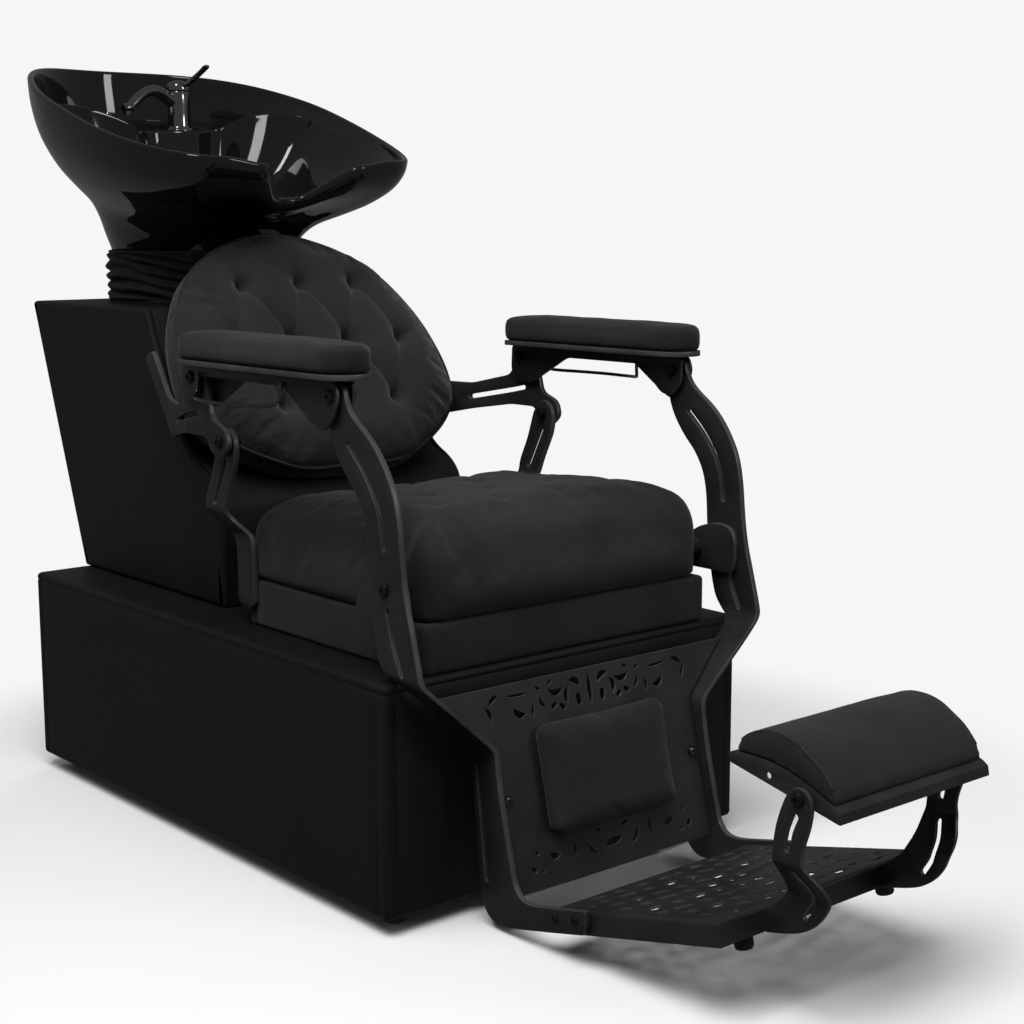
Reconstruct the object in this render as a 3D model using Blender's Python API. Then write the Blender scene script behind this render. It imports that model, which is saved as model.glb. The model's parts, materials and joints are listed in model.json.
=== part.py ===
# Shampoo backwash unit: a low box plinth with a padded seat, a tower that
# carries a tilting ceramic basin, a reclining back, two armrests on a four-bar
# of slotted steel plates, and a foot frame with a flip-up leg rest.
# The client faces -Y.  Metres, +Z up, floor at Z = 0, symmetric about X = 0.
# Lengths along Y are measured from the front face of the plinth and shifted by
# PLAN_SHIFT when each body is made, so the origin sits under the middle.
import bpy
import bmesh
import math
from mathutils import Vector
from mathutils.geometry import tessellate_polygon

for o in list(bpy.data.objects):
    bpy.data.objects.remove(o, do_unlink=True)

# ---------------------------------------------------------------- dimensions
PLAN_SHIFT = 0.33825      # plinth front face to the origin
GAP = 0.0004            # running gap between touching bodies

PLINTH_HALF = 0.298
PLINTH_LEN = 0.909
PLINTH_Z0 = 0.022
PLINTH_TOP = 0.310
PLINTH_EDGE = 0.008
GLIDE_R = 0.016
GLIDE_INSET = 0.045

TOWER_HALF = 0.215
TOWER_PROFILE = [(0.909, 0.0), (0.490, 0.0), (0.490, 0.435), (0.497, 0.465), (0.520, 0.487),
                 (0.560, 0.505), (0.600, 0.550), (0.632, 0.610), (0.667, 0.670), (0.688, 0.720),
                 (1.056, 0.720)]

SEAT_HALF = 0.238
SEAT_BOX_Y = (0.002, 0.385)
SEAT_BOX_TOP = 0.372
SEAT_Y = (-0.002, 0.400)
SEAT_TOP = 0.492

PLATE = 0.008           # thickness of the link plates
LEG_X = 0.285           # centre plane of the armrest links
FOOT_X = 0.176          # centre plane of the lower leg
JOG_TOP = 0.318         # the leg steps inward between these heights
JOG_LOW = 0.222
O2 = (0.367, 0.561)     # back to seat bracket
A2 = (0.422, 0.643)     # back to armrest
B2 = (0.101, 0.640)     # armrest to front leg
O4 = (0.009, 0.422)     # front leg to seat
BOLT_R = 0.004
HEAD_R = 0.0085

RECLINE = math.radians(33.0)
BACK_O = (0.535, 0.550)  # a point of the middle plane of the back
BACK_OUTLINE = [(0.0, -0.086), (0.060, -0.085), (0.105, -0.078), (0.140, -0.062), (0.175, -0.043),
                (0.205, -0.020), (0.226, 0.010), (0.235, 0.045), (0.235, 0.085), (0.230, 0.125),
                (0.219, 0.165), (0.203, 0.200), (0.182, 0.234), (0.154, 0.263), (0.120, 0.287),
                (0.082, 0.305), (0.042, 0.316), (0.0, 0.320)]

ARM_X = 0.278
ARM_HALF = 0.035
ARM_Y = (0.067, 0.430)
BOARD_Z = (0.6600, 0.6670)
PAD_TOP = 0.704

PANEL_TILT = math.atan(0.25)
PLATE_HALF = 0.171
PLATE_FRONT = (-0.410, 0.1165)
PLATE_REAR_Y = -0.150
TRAY_HALF = 0.1264
FLIP = (-0.484, 0.2620)

BASIN_C = 0.850
BASIN_A = 0.260
BASIN_B = 0.360
NECK_C = 0.890
NECK_A = 0.136
NECK_B = 0.150
NECK_Z0 = 0.785
TILT_AX = (0.860, 0.764)
MIXER = (0.062, 1.055)
DECK_Z = 0.992


# ------------------------------------------------------------------ materials
def material(name, rgb, rough, metal=0.0, coat=0.0):
    m = bpy.data.materials.new(name)
    m.use_nodes = True
    b = m.node_tree.nodes.get("Principled BSDF")
    b.inputs["Base Color"].default_value = (rgb[0], rgb[1], rgb[2], 1.0)
    b.inputs["Roughness"].default_value = rough
    b.inputs["Metallic"].default_value = metal
    b.inputs["Coat Weight"].default_value = coat
    m.diffuse_color = (rgb[0], rgb[1], rgb[2], 1.0)
    return m


LOOK = {
    "vinyl": ((0.022, 0.022, 0.023), 0.55, 0.0, 0.0),
    "suede": ((0.030, 0.030, 0.031), 0.90, 0.0, 0.0),
    "steel": ((0.035, 0.036, 0.038), 0.42, 0.2, 0.0),
    "bolt": ((0.020, 0.020, 0.021), 0.30, 0.7, 0.0),
    "rubber": ((0.012, 0.012, 0.012), 0.75, 0.0, 0.0),
    "ceramic": ((0.010, 0.010, 0.011), 0.06, 0.0, 1.0),
    "chrome": ((0.75, 0.76, 0.78), 0.08, 1.0, 0.0),
    "wood": ((0.060, 0.050, 0.042), 0.70, 0.0, 0.0),
}


def finish(name, bm, look):
    bmesh.ops.remove_doubles(bm, verts=bm.verts, dist=1e-6)
    bmesh.ops.recalc_face_normals(bm, faces=bm.faces)
    if bm.calc_volume(signed=True) < 0:
        bmesh.ops.reverse_faces(bm, faces=bm.faces)
    for v in bm.verts:
        v.co.y -= PLAN_SHIFT
    me = bpy.data.meshes.new(name)
    bm.to_mesh(me)
    bm.free()
    ob = bpy.data.objects.new(name, me)
    bpy.context.scene.collection.objects.link(ob)
    rgb, rough, metal, coat = LOOK[look]
    me.materials.append(material(name + "_" + look, rgb, rough, metal, coat))
    return ob


# -------------------------------------------------------------------- builders
def box(name, x, y, z, look, edge=0.0, seg=2):
    bm = bmesh.new()
    bmesh.ops.create_cube(bm, size=1.0)
    for v in bm.verts:
        v.co = Vector((x[0] + (v.co.x + 0.5) * (x[1] - x[0]),
                       y[0] + (v.co.y + 0.5) * (y[1] - y[0]),
                       z[0] + (v.co.z + 0.5) * (z[1] - z[0])))
    if edge > 0:
        bmesh.ops.bevel(bm, geom=bm.edges[:], offset=edge, segments=seg, profile=0.5, affect='EDGES')
    return finish(name, bm, look)


def stack(rings, close_ring=False):
    """Loft closed rings of equal count; caps both ends unless close_ring."""
    bm = bmesh.new()
    vs = [[bm.verts.new(p) for p in r] for r in rings]
    n = len(rings[0])
    m = len(rings)
    last = m if close_ring else m - 1
    for i in range(last):
        a, b = vs[i], vs[(i + 1) % m]
        for k in range(n):
            bm.faces.new((a[k], a[(k + 1) % n], b[(k + 1) % n], b[k]))
    if not close_ring:
        bm.faces.new(list(reversed(vs[0])))
        bm.faces.new(vs[-1])
    return bm


def rod(name, p, q, profile, look, n=16):
    """Turned body from p to q; profile = [(fraction or distance, radius)]."""
    p, q = Vector(p), Vector(q)
    d = (q - p)
    length = d.length
    d.normalize()
    side = Vector((0, 0, 1)) if abs(d.z) < 0.9 else Vector((1, 0, 0))
    u = d.cross(side).normalized()
    w = d.cross(u).normalized()
    rings = []
    for s, r in profile:
        c = p + d * (s * length)
        rings.append([c + u * (r * math.cos(2 * math.pi * k / n)) + w * (r * math.sin(2 * math.pi * k / n))
                      for k in range(n)])
    return finish(name, stack(rings), look)


def wire(name, pts, r, look, n=10):
    """Round wire along a path."""
    pts = [Vector(p) for p in pts]
    rings = []
    up = Vector((0, 0, 1))
    for i, c in enumerate(pts):
        if i == 0:
            t = pts[1] - pts[0]
        elif i == len(pts) - 1:
            t = pts[-1] - pts[-2]
        else:
            t = (pts[i + 1] - c).normalized() + (c - pts[i - 1]).normalized()
        t.normalize()
        ref = up if abs(t.dot(up)) < 0.92 else Vector((0, 1, 0))
        u = t.cross(ref).normalized()
        if rings:
            prev = (rings[-1][0] - pts[i - 1])
            prev = prev - t * prev.dot(t)
            u = prev.normalized()
        w = t.cross(u).normalized()
        rings.append([c + (u * math.cos(2 * math.pi * k / n) + w * math.sin(2 * math.pi * k / n)) * r
                      for k in range(n)])
    return finish(name, stack(rings), look)


def circle(c, r, n=14):
    return [(c[0] + r * math.cos(2 * math.pi * k / n), c[1] + r * math.sin(2 * math.pi * k / n))
            for k in range(n)]


def slot(a, b, r, n=5):
    """Round-ended slot from a to b, counter-clockwise."""
    ax, ay = a
    bx, by = b
    t = math.atan2(by - ay, bx - ax)
    out = []
    for k in range(n + 1):
        g = t - math.pi / 2 + math.pi * k / n
        out.append((bx + r * math.cos(g), by + r * math.sin(g)))
    for k in range(n + 1):
        g = t + math.pi / 2 + math.pi * k / n
        out.append((ax + r * math.cos(g), ay + r * math.sin(g)))
    return out


def bent_slot(pts, r):
    """Slot that follows a short path."""
    left, right = [], []
    for i, p in enumerate(pts):
        a = pts[max(i - 1, 0)]
        b = pts[min(i + 1, len(pts) - 1)]
        dx, dy = b[0] - a[0], b[1] - a[1]
        n = math.hypot(dx, dy)
        left.append((p[0] - dy / n * r, p[1] + dx / n * r))
        right.append((p[0] + dy / n * r, p[1] - dx / n * r))
    return right + left[::-1]


def round_poly(poly, r, n=3):
    """Round every corner of a polygon by about r."""
    out = []
    m = len(poly)
    for i in range(m):
        p = Vector(poly[i])
        a = Vector(poly[i - 1])
        b = Vector(poly[(i + 1) % m])
        da, db = (a - p), (b - p)
        ra = min(r, da.length * 0.45)
        rb = min(r, db.length * 0.45)
        p0 = p + da.normalized() * ra
        p1 = p + db.normalized() * rb
        for k in range(n + 1):
            t = k / n
            q = p0 * ((1 - t) ** 2) + p * (2 * t * (1 - t)) + p1 * (t ** 2)
            out.append((q.x, q.y))
    return out


def sheet(outer, holes, thick):
    """Flat perforated plate in (u, v) with w from 0 to thick."""
    loops = [outer] + list(holes)
    tris = tessellate_polygon([[Vector((p[0], p[1], 0.0)) for p in lp] for lp in loops])
    flat = [p for lp in loops for p in lp]
    bm = bmesh.new()
    lo = [bm.verts.new((p[0], p[1], 0.0)) for p in flat]
    hi = [bm.verts.new((p[0], p[1], thick)) for p in flat]
    for t in tris:
        if len(set(t)) < 3:
            continue
        bm.faces.new((hi[t[0]], hi[t[1]], hi[t[2]]))
        bm.faces.new((lo[t[2]], lo[t[1]], lo[t[0]]))
    base = 0
    for lp in loops:
        n = len(lp)
        for k in range(n):
            a, b = base + k, base + (k + 1) % n
            bm.faces.new((lo[a], lo[b], hi[b], hi[a]))
        base += n
    return bm


def side_plate(name, outer, holes, thick, centre, side, look, cuts=(), shift=None):
    """Plate lying in a YZ plane on one side; shift(y, z) moves it sideways."""
    bm = sheet(outer, holes, thick)
    for co, no in cuts:
        g = bm.verts[:] + bm.edges[:] + bm.faces[:]
        bmesh.ops.bisect_plane(bm, geom=g, dist=1e-6, plane_co=(co[0], co[1], 0),
                               plane_no=(no[0], no[1], 0))
    for v in bm.verts:
        y, z, w = v.co
        x = centre if shift is None else shift(y, z)
        v.co = Vector((side * (x - thick / 2 + w), y, z))
    return finish(name, bm, look)


def cushion(name, outline, place, levels, look, top_bulge=0.0):
    """Upholstered block: outline in (u, v); levels = [(height, inset)]."""
    n = len(outline)
    cx = sum(p[0] for p in outline) / n
    cy = sum(p[1] for p in outline) / n

    def inset(d):
        pts = []
        for i in range(n):
            a, p, b = outline[i - 1], outline[i], outline[(i + 1) % n]
            tx, ty = b[0] - a[0], b[1] - a[1]
            q = math.hypot(tx, ty)
            pts.append((p[0] - ty / q * d, p[1] + tx / q * d))
        return pts
    rings = []
    for h, d in levels:
        rings.append([place(u, v, h) for u, v in inset(d)])
    bm = stack(rings)
    if top_bulge:
        bm.faces.ensure_lookup_table()
        top = bm.faces[-1]
        r = bmesh.ops.poke(bm, faces=[top])
        h = levels[-1][0]
        r['verts'][0].co = Vector(place(cx, cy, h + top_bulge))
    bmesh.ops.triangulate(bm, faces=[f for f in bm.faces if len(f.verts) == 4])
    return finish(name, bm, look)


def rect_loop(x, y, r, n=4):
    """Counter-clockwise rounded rectangle."""
    out = []
    for cx, cy, a0 in ((x[1] - r, y[0] + r, -90), (x[1] - r, y[1] - r, 0), (x[0] + r, y[1] - r, 90),
                       (x[0] + r, y[0] + r, 180)):
        for k in range(n + 1):
            a = math.radians(a0 + 90 * k / n)
            out.append((cx + r * math.cos(a), cy + r * math.sin(a)))
    return out


def to_object(b, nm):
    bmesh.ops.recalc_face_normals(b, faces=b.faces)
    me = bpy.data.meshes.new(nm)
    b.to_mesh(me)
    b.free()
    ob = bpy.data.objects.new(nm, me)
    bpy.context.scene.collection.objects.link(ob)
    return ob


def join(a, b):
    m = a.modifiers.new("join", 'BOOLEAN')
    m.operation = 'UNION'
    m.solver = 'EXACT'
    m.object = b
    dg = bpy.context.evaluated_depsgraph_get()
    me = bpy.data.meshes.new_from_object(a.evaluated_get(dg))
    out = bmesh.new()
    out.from_mesh(me)
    for o in (a, b):
        bpy.data.objects.remove(o, do_unlink=True)
    return out


def weld(name, parts, look):
    """One body out of finished bodies that touch."""
    a = parts[0]
    for b in parts[1:]:
        a = to_object(join(a, b), "welded")
    out = bmesh.new()
    out.from_mesh(a.data)
    bpy.data.objects.remove(a, do_unlink=True)
    for v in out.verts:
        v.co.y += PLAN_SHIFT
    return finish(name, out, look)


# -------------------------------------------------------------- plinth, tower
box("plinth", (-PLINTH_HALF, PLINTH_HALF), (0.0, PLINTH_LEN), (PLINTH_Z0, PLINTH_TOP), "vinyl", PLINTH_EDGE)
for nm, sx, yy in (("glide_front_left", -1, GLIDE_INSET), ("glide_front_right", 1, GLIDE_INSET),
                   ("glide_rear_left", -1, PLINTH_LEN - GLIDE_INSET),
                   ("glide_rear_right", 1, PLINTH_LEN - GLIDE_INSET)):
    gx = sx * (PLINTH_HALF - GLIDE_INSET)
    rod(nm, (gx, yy, 0.0), (gx, yy, PLINTH_Z0 - GAP), [(0, GLIDE_R - 0.003), (0.15, GLIDE_R), (1, GLIDE_R)],
        "rubber", 20)

prof = [(y, z if z > 0 else PLINTH_TOP + GAP) for y, z in TOWER_PROFILE]
bm = sheet(prof, [], 2 * TOWER_HALF)
for v in bm.verts:
    y, z, w = v.co
    v.co = Vector((w - TOWER_HALF, y, z))
finish("tower", bm, "vinyl")

# ------------------------------------------------------------------------ seat
box("seat_box", (-SEAT_HALF, SEAT_HALF), SEAT_BOX_Y, (PLINTH_TOP + GAP, SEAT_BOX_TOP), "vinyl", 0.004)
cushion("seat_cushion", rect_loop((-SEAT_HALF, SEAT_HALF), SEAT_Y, 0.035),
        lambda u, v, h: (u, v, h - 0.02 * max(0.0, (v - 0.1) / 0.3) * (h - SEAT_BOX_TOP) / 0.12),
        [(SEAT_BOX_TOP + GAP, 0.004), (SEAT_BOX_TOP + 0.006, 0.0), (SEAT_TOP - 0.030, 0.0),
         (SEAT_TOP - 0.014, 0.006), (SEAT_TOP - 0.004, 0.018), (SEAT_TOP, 0.030)], "suede", 0.008)


# --------------------------------------------------------- seat side brackets
def rear_leg_shift(y, z):
    t = min(max((z - 0.432) / 0.036, 0.0), 1.0)
    return 0.2425 + t * (0.274 - 0.2425)


REAR_LEG = round_poly([(0.400, 0.336), (0.400, 0.420), (0.425, 0.452), (0.424, 0.480), (0.404, 0.520),
                       (0.388, 0.567), (0.367, 0.582), (0.347, 0.566), (0.349, 0.535), (0.372, 0.490),
                       (0.384, 0.460), (0.362, 0.425), (0.360, 0.336)][::-1], 0.008)
HUB_X = (0.2725, 0.2805)    # the pivot plate, just inside the front leg
HUB_C = (0.054, 0.400)      # spacer between the pivot plate and its flange
HUB_FLANGE = round_poly([(0.036, 0.330), (0.084, 0.330), (0.084, 0.425), (0.036, 0.425)], 0.010)
FRONT_HUB = round_poly([(-0.016, 0.372), (0.076, 0.372), (0.080, 0.388), (0.076, 0.404), (0.064, 0.419),
                        (0.046, 0.430),
                        (0.022, 0.437), (0.000, 0.437), (-0.014, 0.431), (-0.020, 0.415), (-0.020, 0.388)],
                        0.006)
for nm, sx in (("left", -1), ("right", 1)):
    side_plate("rear_bracket_" + nm, REAR_LEG,
               [circle(O2, BOLT_R + 0.0006), slot((0.372, 0.535), (0.402, 0.478), 0.0035)],
               PLATE, 0, sx, "steel",
               cuts=[((0, 0.468), (0, 1)), ((0, 0.432), (0, 1))], shift=rear_leg_shift)
    pl = side_plate("hub_plate", FRONT_HUB, [], HUB_X[1] - HUB_X[0], (HUB_X[0] + HUB_X[1]) / 2, sx, "steel")
    hb = rod("hub_boss", (sx * (SEAT_HALF + 0.0045), HUB_C[0], HUB_C[1]),
             (sx * (HUB_X[0] + 0.004), HUB_C[0], HUB_C[1]),
             [(0, 0.014), (1, 0.014)], "steel", 24)
    fl = side_plate("hub_flange", HUB_FLANGE, [], 0.006, SEAT_HALF + 0.0035, sx, "steel")
    weld("seat_pivot_" + nm, [pl, hb, fl], "steel")
    # pivot bolts: button head outside, shank through the plates
    rod("leg_bolt_" + nm, (sx * (LEG_X - PLATE / 2 - 0.0002), O4[0], O4[1]),
        (sx * (LEG_X + PLATE / 2 + 0.0052), O4[0], O4[1]),
        [(0, BOLT_R), (0.63, BOLT_R), (0.631, HEAD_R), (0.82, HEAD_R), (1, 0.005)], "bolt", 16)
    rod("back_bolt_" + nm, (sx * 0.2600, O2[0], O2[1]), (sx * (LEG_X + PLATE / 2 + 0.0052), O2[0], O2[1]),
        [(0, 0.006), (0.08, 0.0085), (0.27, 0.0085), (0.271, BOLT_R), (0.853, BOLT_R), (0.854, HEAD_R),
         (0.93, HEAD_R), (1, 0.005)],
        "bolt", 16)


# ----------------------------------------------------------------------- back
def back(u, s, n):
    """Point of the back: u across, s up the back, n towards the client."""
    return (u, BACK_O[0] + s * math.sin(RECLINE) - n * math.cos(RECLINE),
            BACK_O[1] + s * math.cos(RECLINE) + n * math.sin(RECLINE))


def back_yz(s, n):
    p = back(0, s, n)
    return (p[1], p[2])


outline = [(x, s) for x, s in BACK_OUTLINE] + [(-x, s) for x, s in BACK_OUTLINE[-2:0:-1]]
cushion("back_cushion", outline, lambda u, v, h: back(u, v, h),
        [(-0.0177, 0.014), (-0.010, 0.005), (0.004, 0.0), (0.022, 0.002), (0.036, 0.010), (0.047, 0.026),
         (0.053, 0.055)],
        "suede", 0.004)
BOARD_LOW = -0.030       # the board stops above the tower's shoulder
board = [(x, max(v, BOARD_LOW + 0.012 * (x / 0.2) ** 2)) for x, v in outline]
cushion("back_board", board, lambda u, v, h: back(u, v, h), [(-0.0290, 0.014), (-0.0182, 0.014)], "wood")


def arm_shift(y, z):
    t = min(max((y - 0.455) / (0.585 - 0.455), 0.0), 1.0)
    return LEG_X + t * (0.2320 - LEG_X)


BACK_ARM = round_poly([(0.398, 0.640), (0.405, 0.658), (0.436, 0.660), (0.446, 0.640), (0.455, 0.612),
                       (0.520, 0.596),
                       back_yz(0.070, -0.0200), back_yz(0.150, -0.0200), back_yz(0.150, -0.0440),
                       back_yz(0.020, -0.0440), (0.520, 0.556), (0.455, 0.566), (0.400, 0.566),
                       (0.388, 0.545), (0.365, 0.539),
                       (0.345, 0.556), (0.352, 0.578), (0.385, 0.590)][::-1], 0.008)
for nm, sx in (("left", -1), ("right", 1)):
    side_plate("back_arm_" + nm, BACK_ARM,
               [circle(O2, BOLT_R + 0.0006), circle(A2, BOLT_R + 0.0006),
                slot((0.425, 0.594), (0.520, 0.575), 0.0035)],
               PLATE, 0, sx, "steel",
               cuts=[((0.455, 0), (1, 0)), ((0.585, 0), (1, 0))], shift=arm_shift)

# -------------------------------------------------------------------- armrests
ARM_OUT = []
for k in range(9):
    a = math.pi + math.pi * k / 8
    ARM_OUT.append((ARM_HALF * math.cos(a), ARM_Y[0] + ARM_HALF + ARM_HALF * math.sin(a)))
ARM_OUT += [(ARM_HALF, ARM_Y[1] - 0.010), (ARM_HALF - 0.003, ARM_Y[1] - 0.003),
            (ARM_HALF - 0.010, ARM_Y[1]),
            (-ARM_HALF + 0.010, ARM_Y[1]), (-ARM_HALF + 0.003, ARM_Y[1] - 0.003),
            (-ARM_HALF, ARM_Y[1] - 0.010)]

CHEEK_TOP = BOARD_Z[0] - GAP
OUTER_CHEEK = round_poly([(0.092, CHEEK_TOP), (0.084, 0.640), (0.096, 0.612), (0.118, 0.596),
                          (0.138, 0.604),
                          (0.200, 0.645), (0.402, 0.646), (0.406, 0.616), (0.424, 0.612), (0.440, 0.618),
                          (0.444, 0.640),
                          (0.440, CHEEK_TOP)], 0.005)
INNER_CHEEK = round_poly([(0.084, CHEEK_TOP), (0.084, 0.622), (0.100, 0.606), (0.120, 0.606),
                          (0.165, 0.645), (0.318, 0.645),
                          (0.395, 0.604), (0.432, 0.604), (0.444, 0.620), (0.442, CHEEK_TOP)], 0.005)
for nm, sx in (("left", -1), ("right", 1)):
    cushion("arm_pad_" + nm, ARM_OUT, lambda u, v, h: (sx * ARM_X + u, v, h),
            [(BOARD_Z[1] + GAP, 0.001), (BOARD_Z[1] + 0.004, 0.0), (PAD_TOP - 0.010, 0.0),
             (PAD_TOP - 0.003, 0.003),
             (PAD_TOP, 0.006)], "suede", 0.001)
    cushion("arm_board_" + nm, ARM_OUT, lambda u, v, h: (sx * ARM_X + u, v, h),
            [(BOARD_Z[0], 0.0), (BOARD_Z[1], 0.0)], "steel")
    side_plate("arm_cheek_outer_" + nm, OUTER_CHEEK,
               [circle(B2, BOLT_R + 0.0006), circle(A2, BOLT_R + 0.0006)],
               0.004, 0.2950, sx, "steel")
    side_plate("arm_cheek_inner_" + nm, INNER_CHEEK,
               [circle(B2, BOLT_R + 0.0006), circle(A2, BOLT_R + 0.0006)],
               0.004, 0.2740, sx, "steel")
    for tag, c in (("front", B2), ("rear", A2)):
        rod("arm_bolt_%s_%s" % (tag, nm), (sx * 0.2640, c[0], c[1]), (sx * 0.3026, c[0], c[1]),
            [(0, 0.006), (0.05, 0.0075), (0.205, 0.0075), (0.206, BOLT_R), (0.86, BOLT_R), (0.861, HEAD_R),
             (0.93, HEAD_R), (1, 0.005)],
            "bolt", 14)
    # wire towel rail bowed out below the board
    xi = 0.3002
    rail = [(sx * xi, 0.398, 0.6515), (sx * xi, 0.398, 0.632), (sx * (xi + 0.004), 0.394, 0.624),
            (sx * (xi + 0.016), 0.380, 0.621), (sx * (xi + 0.026), 0.350, 0.620),
            (sx * (xi + 0.030), 0.300, 0.620),
            (sx * (xi + 0.026), 0.250, 0.620), (sx * (xi + 0.014), 0.215, 0.622),
            (sx * (xi + 0.004), 0.203, 0.626),
            (sx * xi, 0.200, 0.634), (sx * xi, 0.200, 0.6515)]
    wire("towel_rail_" + nm, rail, 0.0024, "chrome", 8)


# ------------------------------------------------------------------ foot frame
def leg_shift(y, z):
    t = min(max((z - JOG_LOW) / (JOG_TOP - JOG_LOW), 0.0), 1.0)
    return FOOT_X + t * (LEG_X - FOOT_X)


LEG = [(0.082, 0.636), (0.086, 0.652), (0.101, 0.658), (0.117, 0.650), (0.120, 0.634), (0.113, 0.590),
       (0.089, 0.554),
       (0.060, 0.527), (0.042, 0.489), (0.039, 0.417), (0.027, 0.345), (0.014, 0.322), (-0.010, 0.310),
       (-0.014, 0.290),
       (-0.012, 0.216), (-0.030, 0.050), (-0.034, 0.026), (-0.050, 0.010), (-0.072, 0.0075),
       (-0.150, 0.026),
       (-0.214, 0.0425), (-0.218, 0.0525), (-0.216, 0.0720), (-0.158, 0.0580), (-0.115, 0.0485),
       (-0.096, 0.058),
       (-0.088, 0.078), (-0.055, 0.214), (-0.060, 0.306), (-0.042, 0.372), (-0.026, 0.427), (-0.018, 0.519),
       (0.004, 0.562), (0.032, 0.594), (0.070, 0.618)]
LEG = round_poly(LEG[::-1], 0.010, 2)
for nm, sx in (("left", -1), ("right", 1)):
    side_plate("front_leg_" + nm, LEG,
               [circle(B2, BOLT_R + 0.0016), circle(O4, BOLT_R + 0.0006),
                bent_slot([(0.078, 0.586), (0.052, 0.562), (0.034, 0.540), (0.018, 0.512),
                           (0.010, 0.470)][::-1], 0.0030),
                bent_slot([(0.004, 0.398), (-0.006, 0.360), (-0.022, 0.326)][::-1], 0.0030),
                slot((-0.042, 0.060), (-0.026, 0.196), 0.0028)],
               PLATE, 0, sx, "steel",
               cuts=[((0, JOG_TOP), (0, 1)), ((0, JOG_LOW), (0, 1))], shift=leg_shift)

# front panel: sits between the legs, wide at the top
PSIN, PCOS = math.sin(PANEL_TILT), math.cos(PANEL_TILT)
P_LOW = (-0.080, 0.046)     # bottom edge of the panel


def panel(u, s, n):
    return (u, P_LOW[0] + s * PSIN - n * PCOS, P_LOW[1] + s * PCOS + n * PSIN)


PANEL_H = 0.250
PANEL = round_poly([(-0.1710, 0.0), (0.1710, 0.0), (0.1705, 0.1830), (0.2450, PANEL_H), (-0.2450, PANEL_H),
                    (-0.1705, 0.1830)], 0.003, 2)


def leaf(cx, cy, lx, ly, ang):
    out = []
    ca, sa = math.cos(math.radians(ang)), math.sin(math.radians(ang))
    for k in range(8):
        a = 2 * math.pi * k / 8
        px, py = lx * math.cos(a), ly * math.sin(a)
        out.append((cx + px * ca - py * sa, cy + px * sa + py * ca))
    return out


SCROLL = [(0.0, 0.222, 0.013, 0.0032, 90)]
for sx in (-1, 1):
    SCROLL += [(sx * 0.020, 0.228, 0.010, 0.0030, 90 - sx * 25),
               (sx * 0.022, 0.210, 0.007, 0.0028, 90 + sx * 15),
               (sx * 0.043, 0.226, 0.009, 0.0030, sx * 20), (sx * 0.046, 0.211, 0.006, 0.0024, -sx * 30),
               (sx * 0.068, 0.226, 0.008, 0.0024, -sx * 8), (sx * 0.072, 0.212, 0.008, 0.0030, sx * 12),
               (sx * 0.100, 0.226, 0.012, 0.0022, 0), (sx * 0.100, 0.211, 0.007, 0.0032, sx * 35),
               (sx * 0.136, 0.222, 0.011, 0.0034, 90 - sx * 20)]
    SCROLL += [(sx * 0.030, 0.028, 0.010, 0.0040, sx * 15),
               (sx * 0.062, 0.026, 0.008, 0.0030, 90 - sx * 25),
               (sx * 0.094, 0.028, 0.007, 0.0030, 90 + sx * 20), (sx * 0.122, 0.026, 0.004, 0.0028, 0),
               (sx * 0.142, 0.018, 0.004, 0.0026, 30)]
bm = sheet(PANEL, [leaf(*q) for q in SCROLL] + [circle((sx * 0.158, 0.112), BOLT_R + 0.0005,
                                                       12) for sx in (-1, 1)], 0.003)
for v in bm.verts:
    v.co = Vector(panel(v.co.x, v.co.y, v.co.z))
finish("front_panel", bm, "steel")

for nm, sx in (("left", -1), ("right", 1)):
    rod("panel_bolt_" + nm, panel(sx * 0.158, 0.112, -0.004), panel(sx * 0.158, 0.112, 0.0078),
        [(0, BOLT_R), (0.62, BOLT_R), (0.621, 0.007), (0.8, 0.006), (1, 0.003)], "bolt", 14)

CALF = rect_loop((-0.106, 0.106), (0.056, 0.196), 0.016, 3)
cushion("calf_pad", CALF, panel, [(0.0034, 0.002), (0.008, 0.0), (0.018, 0.001), (0.024, 0.005),
                                  (0.027, 0.012)], "vinyl", 0.002)

# foot plate: perforated top with flanges folded down
FSL = 0.249
FC, FS_ = math.cos(math.atan(FSL)), math.sin(math.atan(FSL))
F_LEN = (PLATE_REAR_Y - PLATE_FRONT[0]) / FC


def fplate(u, t, n):
    """u across, t from the front edge rearwards, n up from the top face."""
    return (u, PLATE_FRONT[0] + t * FC + n * FS_, PLATE_FRONT[1] - t * FS_ + n * FC)


WELL = []
for row in range(5):
    for col in range(9):
        cx = -0.140 + col * 0.035 + (0.006 if row % 2 else -0.006)
        cy = 0.030 + row * 0.050 + (0.008 if col % 2 else -0.006)
        if cy > F_LEN - 0.02 or abs(cx) > 0.152:
            continue
        k = (row * 7 + col * 5) % 6
        WELL.append((cx, cy, 0.0065 + 0.0012 * k, 0.0032 + 0.0004 * (k % 3), 35 * k - 40))
FLANGE = 0.027
SHEET = 0.003
top_out = [(-PLATE_HALF, 0.0), (PLATE_HALF, 0.0), (PLATE_HALF, F_LEN), (-PLATE_HALF, F_LEN)]
bm = sheet(top_out, [leaf(*q) for q in WELL], SHEET)
bm.faces.ensure_lookup_table()
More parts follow.
